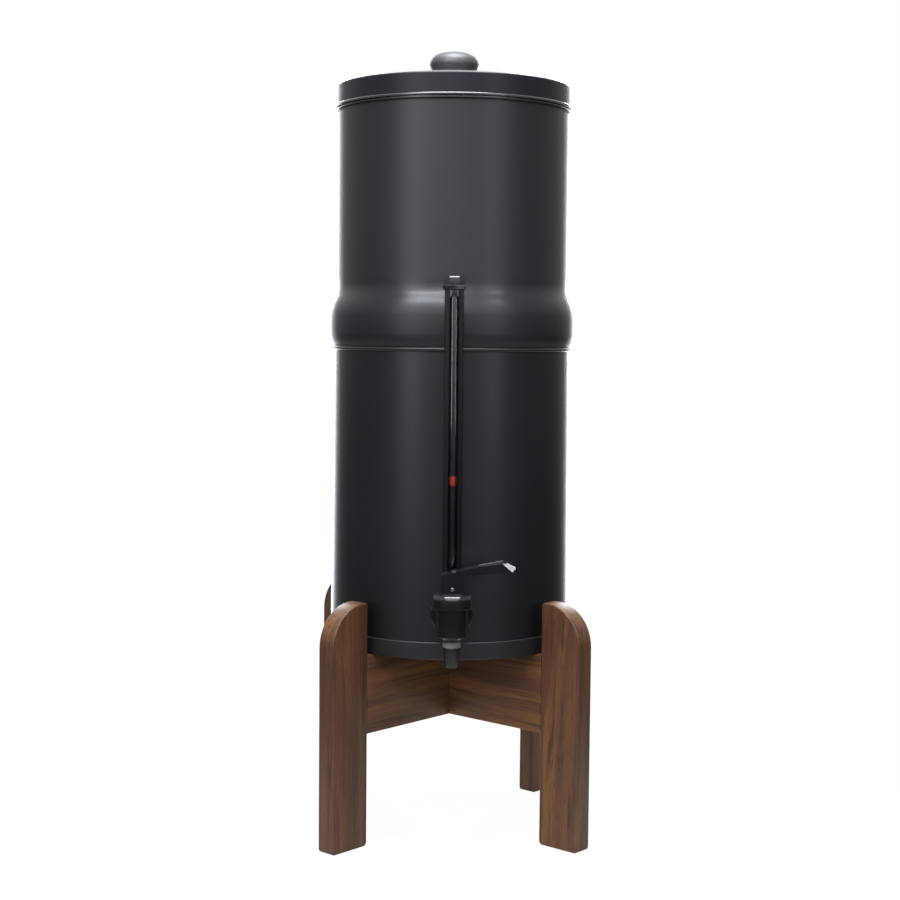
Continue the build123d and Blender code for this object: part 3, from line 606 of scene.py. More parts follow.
class Finishes:
    """Keeps one material for each finish, made when first asked for."""

    BY_SLOT: dict[Slot, Finish] = {
        Slot.WALNUT: Walnut("walnut_spare", 0.0, Grain.UPRIGHT, 0.0),
        Slot.DOWEL_WOOD: Matte("beech_dowel", (0.50, 0.34, 0.20), 0.6, 900, 0.02, 0.15),
        Slot.BLACK_COAT: PowderCoat("satin_black_coat", BLACK, 0.35),
        Slot.BLACK_RING: PowderCoat("foot_ring_coat", (0.0110, 0.0118, 0.0145), 0.38),
        Slot.KNOB_PLASTIC: GlossPlastic(
            "knob_gloss", (0.0340, 0.0355, 0.0390), 0.50, shine=1.0, flow_depth=0.0
        ),
        Slot.BLACK_PLASTIC: GlossPlastic("tap_gloss", (0.0090, 0.0100, 0.0122), 0.16, shine=0.7),
        Slot.POLISHED_STEEL: Steel("polished_steel", (0.74, 0.74, 0.76), 0.12, 3000, 0.0006),
        Slot.BARE_STEEL: Steel("brushed_steel", (0.58, 0.58, 0.60), 0.28, 4500, 0.002),
        Slot.RUBBER: Matte("seal_rubber", (0.018, 0.018, 0.019), 0.62, 2600, 0.01),
        Slot.CLEAR_TUBE: ClearTube("clear_tube"),
        Slot.RED_FLOAT: GlossPlastic("red_float", (0.66, 0.062, 0.030), 0.22),
        Slot.CERAMIC: Matte("candle_ceramic", (0.80, 0.78, 0.72), 0.85, 1800, 0.03),
        Slot.CANDLE_PLASTIC: Matte("candle_plastic", (0.70, 0.72, 0.74), 0.42, 1200, 0.006, 0.04),
    }

    def __init__(self) -> None:
        """Start with no materials made."""
        self._made: dict[str, bpy.types.Material] = {}

    def get(self, finish: Union[Slot, Finish]) -> bpy.types.Material:
        """Return the material of a slot's usual finish, or of a finish of its own."""
        wanted = self.BY_SLOT[finish] if isinstance(finish, Slot) else finish
        if wanted.name not in self._made:
            self._made[wanted.name] = wanted.material()
        return self._made[wanted.name]


FINISHES = Finishes()
LID_COAT = PowderCoat("lid_coat", (0.0078, 0.0092, 0.0135), 0.38, flowed_above=0.7352, shine=0.24)
UPPER_COAT = PowderCoat("upper_black_coat", BLACK, 0.40, shine=0.55, sleek_height=0.529, sleek=0.13)
# Pale grey colour for a thin sleeve on the tap's waist: a painted sheen standing in for the white surroundings
# reflected in the glossy black waist.
WAIST_PAINTED_SHEEN = GlossPlastic("waist_painted_sheen", (0.205, 0.198, 0.210), 0.36)
PIN_STEEL = Steel("pin_steel", (0.20, 0.20, 0.21), 0.34, 3000, 0.0)
KNURL_GLOSS = GlossPlastic("knurled_gloss", (0.0048, 0.0055, 0.0070), 0.48, shine=0.45)
RIM_COAT = GlossPlastic(
    "rolled_rim_coat", (0.0080, 0.0090, 0.0110), 0.22, coat=1.0, shine=1.0, flow_depth=0.0
)
NODE_FINISHES: dict[str, Finish] = {"tap_lever_pin": PIN_STEEL}


# ---- Meshes --------------------------------------------------------------------


class Corner(NamedTuple):
    """A corner of an outline, in millimetres, and the radius that rounds it."""

    across: float
    up: float
    radius: float = 0.0


def box_section(inner: float, outer: float, foot: float, head: float, radius: float) -> list[Corner]:
    """Return a box's four corners in order, all rounded alike."""
    places = ((inner, foot), (outer, foot), (outer, head), (inner, head))
    return [Corner(across, up, radius) for across, up in places]


class Workpiece:
    """A mesh in the making, in millimetres, that ends as one placed object."""

    def __init__(self) -> None:
        """Start with nothing."""
        self.mesh = bmesh.new()

    def line(self, corners: Sequence[Corner], closed: bool = False) -> tuple[list, list]:
        """Draw an outline in the XZ plane and round its corners.

        Args:
            corners: The corners in order.
            closed: Whether the last corner joins the first.

        Returns:
            The outline's vertices and edges.
        """
        others = set(self.mesh.verts)
        verts = [self.mesh.verts.new((corner.across, 0, corner.up)) for corner in corners]
        ends = verts[1:] + (verts[:1] if closed else [])
        for start, end in zip(verts, ends):
            self.mesh.edges.new((start, end))
        places = [Vector((corner.across, corner.up)) for corner in corners]
        for index, corner in enumerate(corners):
            if corner.radius:
                before = places[index - 1] - places[index]
                after = places[(index + 1) % len(places)] - places[index]
                turn = math.pi - before.angle(after)
                self._round(verts[index], corner.radius, turn)
        fresh = self._fresh(others)
        own = set(fresh)
        return fresh, [edge for edge in self.mesh.edges if edge.verts[0] in own]

    def _fresh(self, others: set) -> list[bmesh.types.BMVert]:
        """Return the vertices that are not among the others."""
        return [vert for vert in self.mesh.verts if vert not in others]

    def _round(self, vert: bmesh.types.BMVert, radius: float, turn: float) -> None:
        """Round one corner of an outline that turns by an angle in radians."""
        chord_turn = math.radians(7.0)
        bmesh.ops.bevel(
            self.mesh,
            geom=[vert],
            offset=radius * math.tan(turn / 2),
            offset_type="OFFSET",
            segments=max(3, round(turn / chord_turn)),
            profile=0.5,
            affect="VERTICES",
            material=-1,
        )

    def turn(
        self,
        corners: Sequence[Corner],
        steps: int = SMALL_STEPS,
        frame: Matrix | None = None,
        closed: bool = False,
    ) -> None:
        """Spin an outline about the Z axis.

        Args:
            corners: The outline as radius and height.
            steps: Divisions round the axis.
            frame: Where the turned shape is then put.
            closed: Whether the outline is a ring's section.
        """
        others = set(self.mesh.verts)
        verts, edges = self.line(corners, closed)
        bmesh.ops.spin(
            self.mesh,
            geom=verts + edges,
            cent=(0, 0, 0),
            axis=(0, 0, 1),
            angle=2 * math.pi,
            steps=steps,
            use_merge=True,
        )
        bmesh.ops.remove_doubles(self.mesh, verts=self._fresh(others), dist=MERGE)
        if frame is not None:
            bmesh.ops.transform(self.mesh, matrix=frame, verts=self._fresh(others))

    def slab(self, corners: Sequence[Corner], thickness: float) -> None:
        """Extrude a closed outline in the XZ plane by half its thickness to each side."""
        others = set(self.mesh.verts)
        _, edges = self.line(corners, closed=True)
        bmesh.ops.contextual_create(self.mesh, geom=edges)
        faces = [face for face in self.mesh.faces if not others.intersection(face.verts)]
        self._extrude(faces, (0, thickness, 0))
        bmesh.ops.translate(self.mesh, vec=(0, -thickness / 2, 0), verts=self._fresh(others))

    def _extrude(self, faces: Sequence[bmesh.types.BMFace], way: tuple) -> list[bmesh.types.BMVert]:
        """Extrude faces along a vector and return the vertices that moved."""
        result = bmesh.ops.extrude_face_region(self.mesh, geom=faces)
        moved = [item for item in result["geom"] if isinstance(item, bmesh.types.BMVert)]
        bmesh.ops.translate(self.mesh, vec=way, verts=moved)
        return moved

    def prism(
        self, sides: int, radius: float, foot: float, height: float, bevel: float, drawn_in: float
    ) -> None:
        """Raise a regular prism whose top is bevelled, with a flat side to the front.

        Args:
            sides: Number of its sides.
            radius: Radius of its corners.
            foot: Height of its foot.
            height: Its whole height.
            bevel: Height of the bevel.
            drawn_in: Size of the top as a share of the foot's.
        """
        turned = Matrix.Rotation(math.pi / sides, 4, "Z")
        bmesh.ops.create_circle(
            self.mesh, cap_ends=True, radius=radius, segments=sides,
            matrix=Matrix.Translation((0, 0, foot)) @ turned,
        )
        self._extrude([self._topmost()], (0, 0, height - bevel))
        shoulder = self._topmost()
        raised = self._extrude([shoulder], (0, 0, bevel))
        bmesh.ops.scale(self.mesh, vec=(drawn_in, drawn_in, 1), verts=raised)
        if shoulder.is_valid:
            bmesh.ops.delete(self.mesh, geom=[shoulder], context="FACES_ONLY")

    def _topmost(self) -> bmesh.types.BMFace:
        """Return the highest face."""
        return max(self.mesh.faces, key=lambda face: face.calc_center_median().z)

    def wall(self, thickness: float) -> None:
        """Give an open shell its thickness, inwards."""
        self.tidy()
        bmesh.ops.solidify(self.mesh, geom=self.mesh.faces[:], thickness=thickness)

    def tidy(self) -> None:
        """Merge doubles and point every face outwards."""
        bmesh.ops.remove_doubles(self.mesh, verts=self.mesh.verts[:], dist=MERGE)
        bmesh.ops.recalc_face_normals(self.mesh, faces=self.mesh.faces[:])

    def ease(self, edges: Iterable[bmesh.types.BMEdge], width: float, segments: int = 3) -> None:
        """Round the given edges by a width in millimetres."""
        bmesh.ops.bevel(
            self.mesh,
            geom=list(edges),
            offset=width,
            offset_type="OFFSET",
            segments=segments,
            profile=0.5,
            affect="EDGES",
            clamp_overlap=True,
            material=-1,
        )

    def crisp_edges(self, angle: float) -> list[bmesh.types.BMEdge]:
        """Return the edges whose two faces meet at more than an angle in degrees."""
        limit = math.radians(angle)
        return [edge for edge in self.mesh.edges if edge.is_manifold and edge.calc_face_angle(0.0) > limit]

    def place(self, frame: Matrix) -> None:
        """Move the whole mesh by a matrix in millimetres."""
        bmesh.ops.transform(self.mesh, matrix=frame, verts=self.mesh.verts[:])

    def divide(self, point: Vector, outwards: Vector, waste: bool = False) -> list[bmesh.types.BMEdge]:
        """Cut the mesh at a plane.

        Args:
            point: A point of the plane.
            outwards: The plane's direction.
            waste: Whether what lies beyond it goes.

        Returns:
            The edges of the cut.
        """
        geom = self.mesh.verts[:] + self.mesh.edges[:] + self.mesh.faces[:]
        result = bmesh.ops.bisect_plane(
            self.mesh, geom=geom, dist=MERGE, plane_co=point, plane_no=outwards, clear_outer=waste
        )
        return [item for item in result["geom_cut"] if isinstance(item, bmesh.types.BMEdge)]

    def slice_off(self, point: Vector, outwards: Vector) -> None:
        """Cut away what lies beyond a plane and close the cut.

        Args:
            point: A point of the plane.
            outwards: The direction of the waste.
        """
        cut = self.divide(point, outwards, waste=True)
        if cut:
            bmesh.ops.contextual_create(self.mesh, geom=cut)

    def object(self, name: str, sharp: float = SHARP_ANGLE) -> bpy.types.Object:
        """Turn the mesh into a smooth-shaded object in metres, at the origin.

        Args:
            name: The object's name.
            sharp: Degrees between two faces that shows as a sharp edge.

        Returns:
            The object, linked into the scene.
        """
        self.tidy()
        bmesh.ops.scale(self.mesh, vec=(MM, MM, MM), verts=self.mesh.verts[:])
        limit = math.radians(sharp)
        for edge in self.mesh.edges:
            edge.smooth = edge.calc_face_angle(0.0) < limit
        for face in self.mesh.faces:
            face.smooth = True
        data = bpy.data.meshes.new(name)
        self.mesh.to_mesh(data)
        self.mesh.free()
        piece = bpy.data.objects.new(name, data)
        bpy.context.scene.collection.objects.link(piece)
        return piece


def carve(piece: bpy.types.Object, tool: bpy.types.Object) -> None:
    """Cut a tool's shape out of a piece and remove the tool.

    Args:
        piece: The piece, whose mesh is renewed.
        tool: The closed shape that is taken away.
    """
    cut = piece.modifiers.new("cut", "BOOLEAN")
    cut.operation = "DIFFERENCE"
    cut.solver = "EXACT"
    cut.object = tool
    bpy.context.view_layer.update()
    seen = piece.evaluated_get(bpy.context.evaluated_depsgraph_get())
    carved = bpy.data.meshes.new_from_object(seen)
    carved.name = piece.name
    carved.set_sharp_from_angle(angle=math.radians(SHARP_ANGLE))
    piece.modifiers.clear()
    piece.data = carved
    bpy.data.objects.remove(tool)


def hand_over(
    piece: bpy.types.Object, body: Body, slot: Slot, *stands_for: str, finish: Finish | None = None
) -> None:
    """Dress a finished piece and let it ride.

    Args:
        piece: The object, in place.
        body: The body that it moves with.
        slot: The record's slot of its finish.
        stands_for: The CAD nodes that it replaces.
        finish: A finish of its own, or none for the slot's.
    """
    piece.data.materials.clear()
    piece.data.materials.append(FINISHES.get(finish or slot))
    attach(piece, body.value)
    if stands_for:
        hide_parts(*stands_for)
    LOG.info("%s: %d faces on %s", piece.name, len(piece.data.polygons), body.value)


# ---- Stand ---------------------------------------------------------------------


@dataclass
class Stand:
    """Four legs on two crossed beams."""

    turned: float = 2.4         # degrees that the stand is turned under the vessel
    leg_inner: float = 127.3    # axis to the legs' inner faces
    leg_width: float = 46.2
    board: float = 19.4
    crown_radius: float = 40.0
    heel_radius: float = 3.0
    foot_radius: float = 4.0
    leg_ease: float = 1.4
    beam_ease: float = 1.0
    ease_cuts: int = 4
    lap_gap: float = 0.1
    broad: float = 0.99         # least part of a broad face's normal along its board's thickness
    first_leg_seed: float = 1.7
    leg_seed_step: float = 2.3
    over_seed: float = 12.4
    under_seed: float = 17.9

    def build(self) -> None:
        """Build and dress the legs and the beams."""
        legs = {"front_left": 225.0, "front_right": 315.0, "back_right": 45.0, "back_left": 135.0}
        for index, (place, angle) in enumerate(legs.items()):
            seed = self.first_leg_seed + self.leg_seed_step * index
            self._leg(place, angle + self.turned, seed)
        lap = middle("beam_over").z
        self._beam("beam_over", legs["front_left"] + self.turned, lap, False, self.over_seed)
        self._beam("beam_under", legs["front_right"] + self.turned, lap, True, self.under_seed)

    def _leg(self, place: str, angle: float, seed: float) -> None:
        """Build one leg at an angle in degrees about the stand's axis."""
        top = span(f"leg_{place}")[1].z
        outer = self.leg_inner + self.leg_width
        piece = Workpiece()
        piece.slab(
            [
                Corner(self.leg_inner, 0, self.foot_radius),
                Corner(outer, 0, self.foot_radius),
                Corner(outer, top, self.crown_radius),
                Corner(self.leg_inner, top, self.heel_radius),
            ],
            self.board,
        )
        piece.tidy()
        rims = [edge for edge in piece.mesh.edges if self._on_broad_rim(edge)]
        piece.ease(rims, self.leg_ease, self.ease_cuts)
        piece.place(Matrix.Rotation(math.radians(angle), 4, "Z"))
        wood = Walnut(f"walnut_leg_{place}", angle, Grain.UPRIGHT, seed)
        hand_over(piece.object(f"{place}_leg"), Body.STAND, Slot.WALNUT, f"leg_{place}", finish=wood)

    def _on_broad_rim(self, edge: bmesh.types.BMEdge) -> bool:
        """Tell whether an edge runs round one of the board's broad faces."""
        broad = [abs(face.normal.y) > self.broad for face in edge.link_faces]
        return any(broad) and not all(broad)

    def _beam(self, node: str, angle: float, lap: float, notched_above: bool, seed: float) -> None:
        """Build one beam with its half of the lap joint.

        Args:
            node: The CAD node that it replaces.
            angle: Degrees about the stand's axis.
            lap: Height where the two halves of the joint meet.
            notched_above: Whether the notch is cut into the upper edge.
            seed: Place of its figure in the wood.
        """
        low, high = span(node)[0].z, span(node)[1].z
        half = self.board / 2 + self.lap_gap
        left_foot, right_foot = Corner(-self.leg_inner, low), Corner(self.leg_inner, low)
        left_top, right_top = Corner(-self.leg_inner, high), Corner(self.leg_inner, high)
        mouth = high if notched_above else low
        notch = [Corner(-half, mouth), Corner(-half, lap), Corner(half, lap), Corner(half, mouth)]
        if notched_above:
            outline = [left_foot, right_foot, right_top, *reversed(notch), left_top]
        else:
            outline = [left_foot, *notch, right_foot, right_top, left_top]
        piece = Workpiece()
        piece.slab(outline, self.board)
        piece.tidy()
        arrises = [
            edge for edge in piece.mesh.edges
            if self._on_broad_rim(edge) and all(vert.co.z in (low, high) for vert in edge.verts)
        ]
        piece.ease(arrises, self.beam_ease, self.ease_cuts)
        piece.place(Matrix.Rotation(math.radians(angle), 4, "Z"))
        wood = Walnut(f"walnut_{node}", angle, Grain.LEVEL, seed)
        hand_over(piece.object(f"cross_{node}"), Body.STAND, Slot.WALNUT, node, finish=wood)


# ---- Vessels -------------------------------------------------------------------


@dataclass
class LowerVessel:
    """The lower vessel with its rolled rim and its foot ring."""

    sheet: float = 1.2
    top_radius: float = 118.0
    taper: float = 1.8
    corner_radius: float = 7.6
    bead_radius: float = 2.05
    bead_out: float = 0.7
    ring_wall: float = 3.2
    ring_lip: float = 3.0
    ring_lip_width: float = 18.0
    ring_edge_radius: float = 1.0
    fit: float = 0.03
    step_blend: float = 2.0

    def build(self) -> None:
        """Build and dress the shell, its rim bead and its foot ring."""
        floor = span("lower_vessel")[0].z
        rim = span("lower_vessel")[1].z
        ring_low, ring_high = span("base_ring")
        ring_radius = ring_high.x
        step_radius = ring_radius - self.ring_wall - self.fit
        bead_height = rim - self.bead_radius
        shell = Workpiece()
        shell.turn(
            [
                Corner(0, floor),
                Corner(step_radius, floor, self.corner_radius),
                Corner(step_radius, ring_high.z - self.step_blend),
                Corner(self.top_radius + self.taper, ring_high.z),
                Corner(self.top_radius, bead_height),
            ],
            VESSEL_STEPS,
        )
        shell.wall(self.sheet)
        bead_at = self.top_radius + self.bead_out
        shell.turn(
            box_section(
                bead_at - self.bead_radius, bead_at + self.bead_radius,
                bead_height - self.bead_radius, bead_height + self.bead_radius, self.bead_radius,
            ),
            VESSEL_STEPS,
            closed=True,
        )
        hand_over(shell.object("lower_tank_shell"), Body.LOWER_TANK, Slot.BLACK_COAT, "lower_vessel")
        ring = Workpiece()
        inner = ring_radius - self.ring_wall
        edge = self.ring_edge_radius
        lip_end = inner - self.ring_lip_width
        ring.turn(
            [
                Corner(lip_end, ring_low.z, edge),
                Corner(ring_radius, ring_low.z, edge),
                Corner(ring_radius, ring_high.z, edge),
                Corner(inner, ring_high.z, edge),
                Corner(inner, ring_low.z + self.ring_lip, self.corner_radius),
                Corner(lip_end, ring_low.z + self.ring_lip, edge),
            ],
            VESSEL_STEPS,
            closed=True,
        )
        hand_over(ring.object("foot_ring"), Body.LOWER_TANK, Slot.BLACK_RING, "base_ring")


@dataclass
class UpperVessel:
    """The upper vessel, whose foot nests in the lower one's rim."""

    sheet: float = 1.2
    ledge_radius: float = 118.0
    shoulder_in: float = 7.3
    shoulder_top: float = 54.5
    shoulder_foot: float = 37.5
    bulge_foot: float = 8.5
    shoulder_top_bend: float = 30.0
    shoulder_foot_bend: float = 40.0
    bulge_foot_bend: float = 24.0
    ledge_gap: float = 0.1
    spigot_radius: float = 116.0
    spigot_bend: float = 6.6
    top_flange: float = 4.4
    flange_ease: float = 0.4
    flange_crisp: float = 60.0  # degrees

    def build(self) -> None:
        """Build and dress the shell."""
        low, high = span("upper_vessel")
        rim = span("lower_vessel")[1].z
        bulge = high.x
        wall = bulge - self.shoulder_in
        half = self.sheet / 2
        shell = Workpiece()
        shell.turn(
            [
                Corner(0, low.z),
                Corner(self.spigot_radius, low.z, self.spigot_bend),
                Corner(self.spigot_radius, rim + self.ledge_gap, half),
                Corner(self.ledge_radius, rim + self.ledge_gap, self.sheet),
                Corner(bulge, rim + self.bulge_foot, self.bulge_foot_bend),
                Corner(bulge, rim + self.shoulder_foot, self.shoulder_foot_bend),
                Corner(wall, rim + self.shoulder_top, self.shoulder_top_bend),
                Corner(wall, high.z - self.sheet, half),
                Corner(wall + self.top_flange, high.z - self.sheet),
            ],
            VESSEL_STEPS,
        )
        shell.wall(self.sheet)
        outermost = wall + self.top_flange - self.flange_ease
        shell.ease(
            [
                edge for edge in shell.crisp_edges(self.flange_crisp)
                if all(vert.co.z > rim + self.shoulder_top for vert in edge.verts)
                and all(vert.co.xy.length > outermost for vert in edge.verts)
            ],
            self.flange_ease,
        )
        piece = shell.object("upper_tank_shell")
        hand_over(piece, Body.UPPER_TANK, Slot.BLACK_COAT, "upper_vessel", finish=UPPER_COAT)


# ---- Lid -----------------------------------------------------------------------


@dataclass
class Lid:
    """The lid with its flange, crown and knob."""

    sheet: float = 1.2
    flange: float = 1.9
    bead_radius: float = 1.3
    flange_end: float = 1 / 3   # of the bead's radius, where the flange ends inside it
    corner_radius: float = 1.9
    skirt_height: float = 21.7
    shoulder: float = 4.0
    crown_rise: float = 12.7
    crown_start_slope: float = 0.22
    crown_points: int = 20
    screw_hole: float = 2.8
    knob_radius: float = 24.8
    knob_base_radius: float = 22.0
    knob_skirt: float = 9.1
    knob_seam: float = 0.5
    knob_seam_depth: float = 0.9
    knob_fullness: float = 2.3  # exponent of the dome's section; 2 is an ellipse
    knob_points: int = 14
    knob_ease: float = 1.5
    knob_seam_ease: float = 0.4

    def build(self) -> None:
        """Build and dress the lid and its knob."""
        low, high = span("lid")
        radius = high.x - self.flange
        edge = low.z + self.skirt_height
        bead_z = low.z + self.bead_radius
        half = self.sheet / 2
        skirt = [
            Corner(high.x - self.bead_radius * self.flange_end, bead_z + half),
            Corner(radius, bead_z + half, half),
            Corner(radius, edge - self.crown_start_slope * half, self.corner_radius),
        ]
        shoulder_up = self.crown_start_slope * (self.shoulder - half)
        lid = Workpiece()
        lid.turn(skirt + self._crown(radius - self.shoulder, edge + shoulder_up), VESSEL_STEPS)
        lid.wall(self.sheet)
        hand_over(lid.object("lid_pan"), Body.LID, Slot.BLACK_COAT, "lid", finish=LID_COAT)
        self._bead(high.x - self.bead_radius, bead_z)
        self._knob()

    def _crown(self, start: float, height: float) -> list[Corner]:
        """Return the crown's line, which leaves the shoulder at its slope and ends level."""
        reach = start - self.screw_hole
        rise = self.crown_rise - self.crown_start_slope * (self.shoulder - self.sheet / 2)
        lead = self.crown_start_slope * reach / rise
        line = []
        for index in range(self.crown_points + 1):
            share = index / self.crown_points
            eased = lead * (share**3 - 2 * share**2 + share) + 3 * share**2 - 2 * share**3
            line.append(Corner(start - reach * share, height + rise * eased))
        return line

    def _bead(self, centre: float, height: float) -> None:
        """Build and dress the rolled edge of the flange."""
        bead = Workpiece()
        half = self.bead_radius
        section = box_section(centre - half, centre + half, height - half, height + half, FULL_ROUND * half)
        bead.turn(section, VESSEL_STEPS, closed=True)
        hand_over(bead.object("lid_rolled_edge"), Body.LID, Slot.BLACK_COAT, "lid", finish=RIM_COAT)

    def _knob(self) -> None:
        """Build and dress the knob, with the seam under its domed cap."""
        low, high = span("lid_knob")
        seam = low.z + self.knob_skirt
        cap = seam + self.knob_seam
        dome_radius = self.knob_radius - self.knob_seam / 2
        dome = []
        for index in range(self.knob_points + 1):
            turn = math.pi / 2 * index / self.knob_points
            across = dome_radius * math.cos(turn) ** (2 / self.knob_fullness)
            up = (high.z - cap) * math.sin(turn) ** (2 / self.knob_fullness)
            dome.append(Corner(max(0.0, across), cap + up))
        knob = Workpiece()
        knob.turn(
            [
                Corner(0, low.z),
                Corner(self.knob_base_radius, low.z, self.knob_ease),
                Corner(self.knob_radius, seam, self.knob_seam_ease),
                Corner(self.knob_radius - self.knob_seam_depth, seam),
                Corner(self.knob_radius - self.knob_seam_depth, cap),
                *dome,
            ]
        )
        hand_over(knob.object("knob"), Body.LID, Slot.KNOB_PLASTIC, "lid_knob")


# ---- Tap -----------------------------------------------------------------------


@dataclass
class Tap:
    """The tap: turned body and spout, eight-sided bonnet and tipping lever."""

    body_radius: float = 15.0
    body_down: float = 16.3
    body_top_ease: float = 0.4
    cone: float = 4.0
    cone_ease: float = 0.7
    waist_radius: float = 8.05
    waist: float = 6.3
    waist_step: float = 0.4     # height of the blend from the spout into the waist
    waist_foot_ease: float = 0.2
    waist_top_ease: float = 0.8
    sleeve: float = 0.3         # thickness of the waist's sleeve outside its wall
    sleeve_below_cone: float = 0.9
    spout_top_radius: float = 8.4
    spout_end_radius: float = 6.6
    spout_bore: float = 4.6
    spout_bore_depth: float = 30.0
    shank_radius: float = 8.0
    flange_radius: float = 14.0
    flange: float = 3.5
    neck_radius: float = 10.0
    soft: float = 0.5           # usual radius of an eased corner
    fine: float = 0.3           # the same where the corner is finer
    bonnet_apothem: float = 18.4
    bonnet_radius: float = 19.0
    bonnet_sides: int = 8
    bonnet_bevel_in: float = 1.72
    bonnet_bevel_down: float = 3.4
    bonnet_corner_cuts: int = 5
    bonnet_crisp: float = 15.0  # degrees
    bonnet_ease: float = 0.22
    bonnet_ease_cuts: int = 2
    axis_y: float = field(init=False)
    shank_height: float = field(init=False)

    def __post_init__(self) -> None:
        """Find the tap's upright axis and its shank's."""
        self.axis_y = middle("tap_bonnet").y
        self.shank_height = middle("tap_lock_nut").z

    def build(self) -> None:
        """Build and dress the body, the bonnet and the lever."""
        self._body()
        self._bonnet()
        low, high = span("tap_lever")
        base = span("tap_bonnet")[1].z
        Lever(foot=low.z, base=base, axis_y=self.axis_y, reach=high.x).build()

    def _body(self) -> None:
        """Build the turned body with its spout, neck, flange and shank, and the pale sleeve over the waist
        that paints its sheen.
        """
        body_low, body_high = span("tap_body")
        top = span("tap_bonnet")[0].z
        spout_end = body_low.z
        shoulder = self.shank_height - self.body_down
        waist_top = shoulder - self.cone
        spout_top = waist_top - self.waist
        bore_end = spout_end + self.spout_bore_depth
        turned = Workpiece()
        turned.turn(
            [
                Corner(0, bore_end),
                Corner(self.spout_bore, bore_end),
                Corner(self.spout_bore, spout_end, self.fine),
                Corner(self.spout_end_radius, spout_end, self.soft),
                Corner(self.spout_top_radius, spout_top, self.soft),
                Corner(self.waist_radius, spout_top + self.waist_step, self.waist_foot_ease),
                Corner(self.waist_radius, waist_top, self.waist_top_ease),
                Corner(self.body_radius, shoulder, self.cone_ease),
                Corner(self.body_radius, top, self.body_top_ease),
                Corner(0, top),
            ],
            frame=upright(self.axis_y),
        )
        flange_back = span("gauge_front_seal")[0].y
        turned.turn(
            [
                Corner(0, self.axis_y),
                Corner(self.neck_radius, self.axis_y),
                Corner(self.neck_radius, flange_back - self.flange, self.soft),
                Corner(self.flange_radius, flange_back - self.flange, self.soft),
                Corner(self.flange_radius, flange_back, self.fine),
                Corner(self.shank_radius, flange_back),
                Corner(self.shank_radius, body_high.y, self.soft),
                Corner(0, body_high.y),
            ],
            frame=lying(self.shank_height),
        )
        hand_over(turned.object("tap_barrel"), Body.LOWER_TANK, Slot.BLACK_PLASTIC, "tap_body")
        # A thin pale sleeve over the black waist: its colour is a painted sheen, standing in for the
        # surroundings reflected in the glossy waist.
        sleeve_foot = spout_top + self.waist_step
        sleeve_top = waist_top - self.sleeve_below_cone
        sleeve = Workpiece()
        sleeve.turn(
            [
                Corner(self.waist_radius - self.sleeve, sleeve_foot),
                Corner(self.waist_radius + self.sleeve, sleeve_foot, self.sleeve / 2),
                Corner(self.waist_radius + self.sleeve, sleeve_top, self.sleeve / 2),
                Corner(self.waist_radius - self.sleeve, sleeve_top),
            ],
            frame=upright(self.axis_y),
            closed=True,
        )
        piece = sleeve.object("painted_sheen_waist_sleeve")
        hand_over(piece, Body.LOWER_TANK, Slot.BLACK_PLASTIC, "tap_body", finish=WAIST_PAINTED_SHEEN)

    def _bonnet(self) -> None:
        """Build the eight-sided bonnet, its corners rounded and its top bevelled."""
        low, high = span("tap_bonnet")
        piece = Workpiece()
        corner_radius = self.bonnet_apothem / math.cos(math.pi / self.bonnet_sides)
        drawn_in = (self.bonnet_apothem - self.bonnet_bevel_in) / self.bonnet_apothem
        height = high.z - low.z
        piece.prism(self.bonnet_sides, corner_radius, 0.0, height, self.bonnet_bevel_down, drawn_in)
        flat_end = math.degrees(math.acos(self.bonnet_apothem / self.bonnet_radius))
        half_sector = 180.0 / self.bonnet_sides
        for side in range(self.bonnet_sides):
            corner_at = (2 * side + 1) * half_sector
            for cut in range(self.bonnet_corner_cuts):
                share = (cut + 0.5) / self.bonnet_corner_cuts
                angle = math.radians(corner_at + (2 * share - 1) * (half_sector - flat_end))
                outwards = Vector((math.cos(angle), math.sin(angle), 0))
                piece.slice_off(outwards * self.bonnet_radius, outwards)
        piece.tidy()
        piece.ease(piece.crisp_edges(self.bonnet_crisp), self.bonnet_ease, self.bonnet_ease_cuts)
        piece.place(Matrix.Translation((0, self.axis_y, low.z)))
        bonnet = piece.object("bonnet", FACET_ANGLE)
        hand_over(bonnet, Body.LOWER_TANK, Slot.BLACK_PLASTIC, "tap_bonnet")


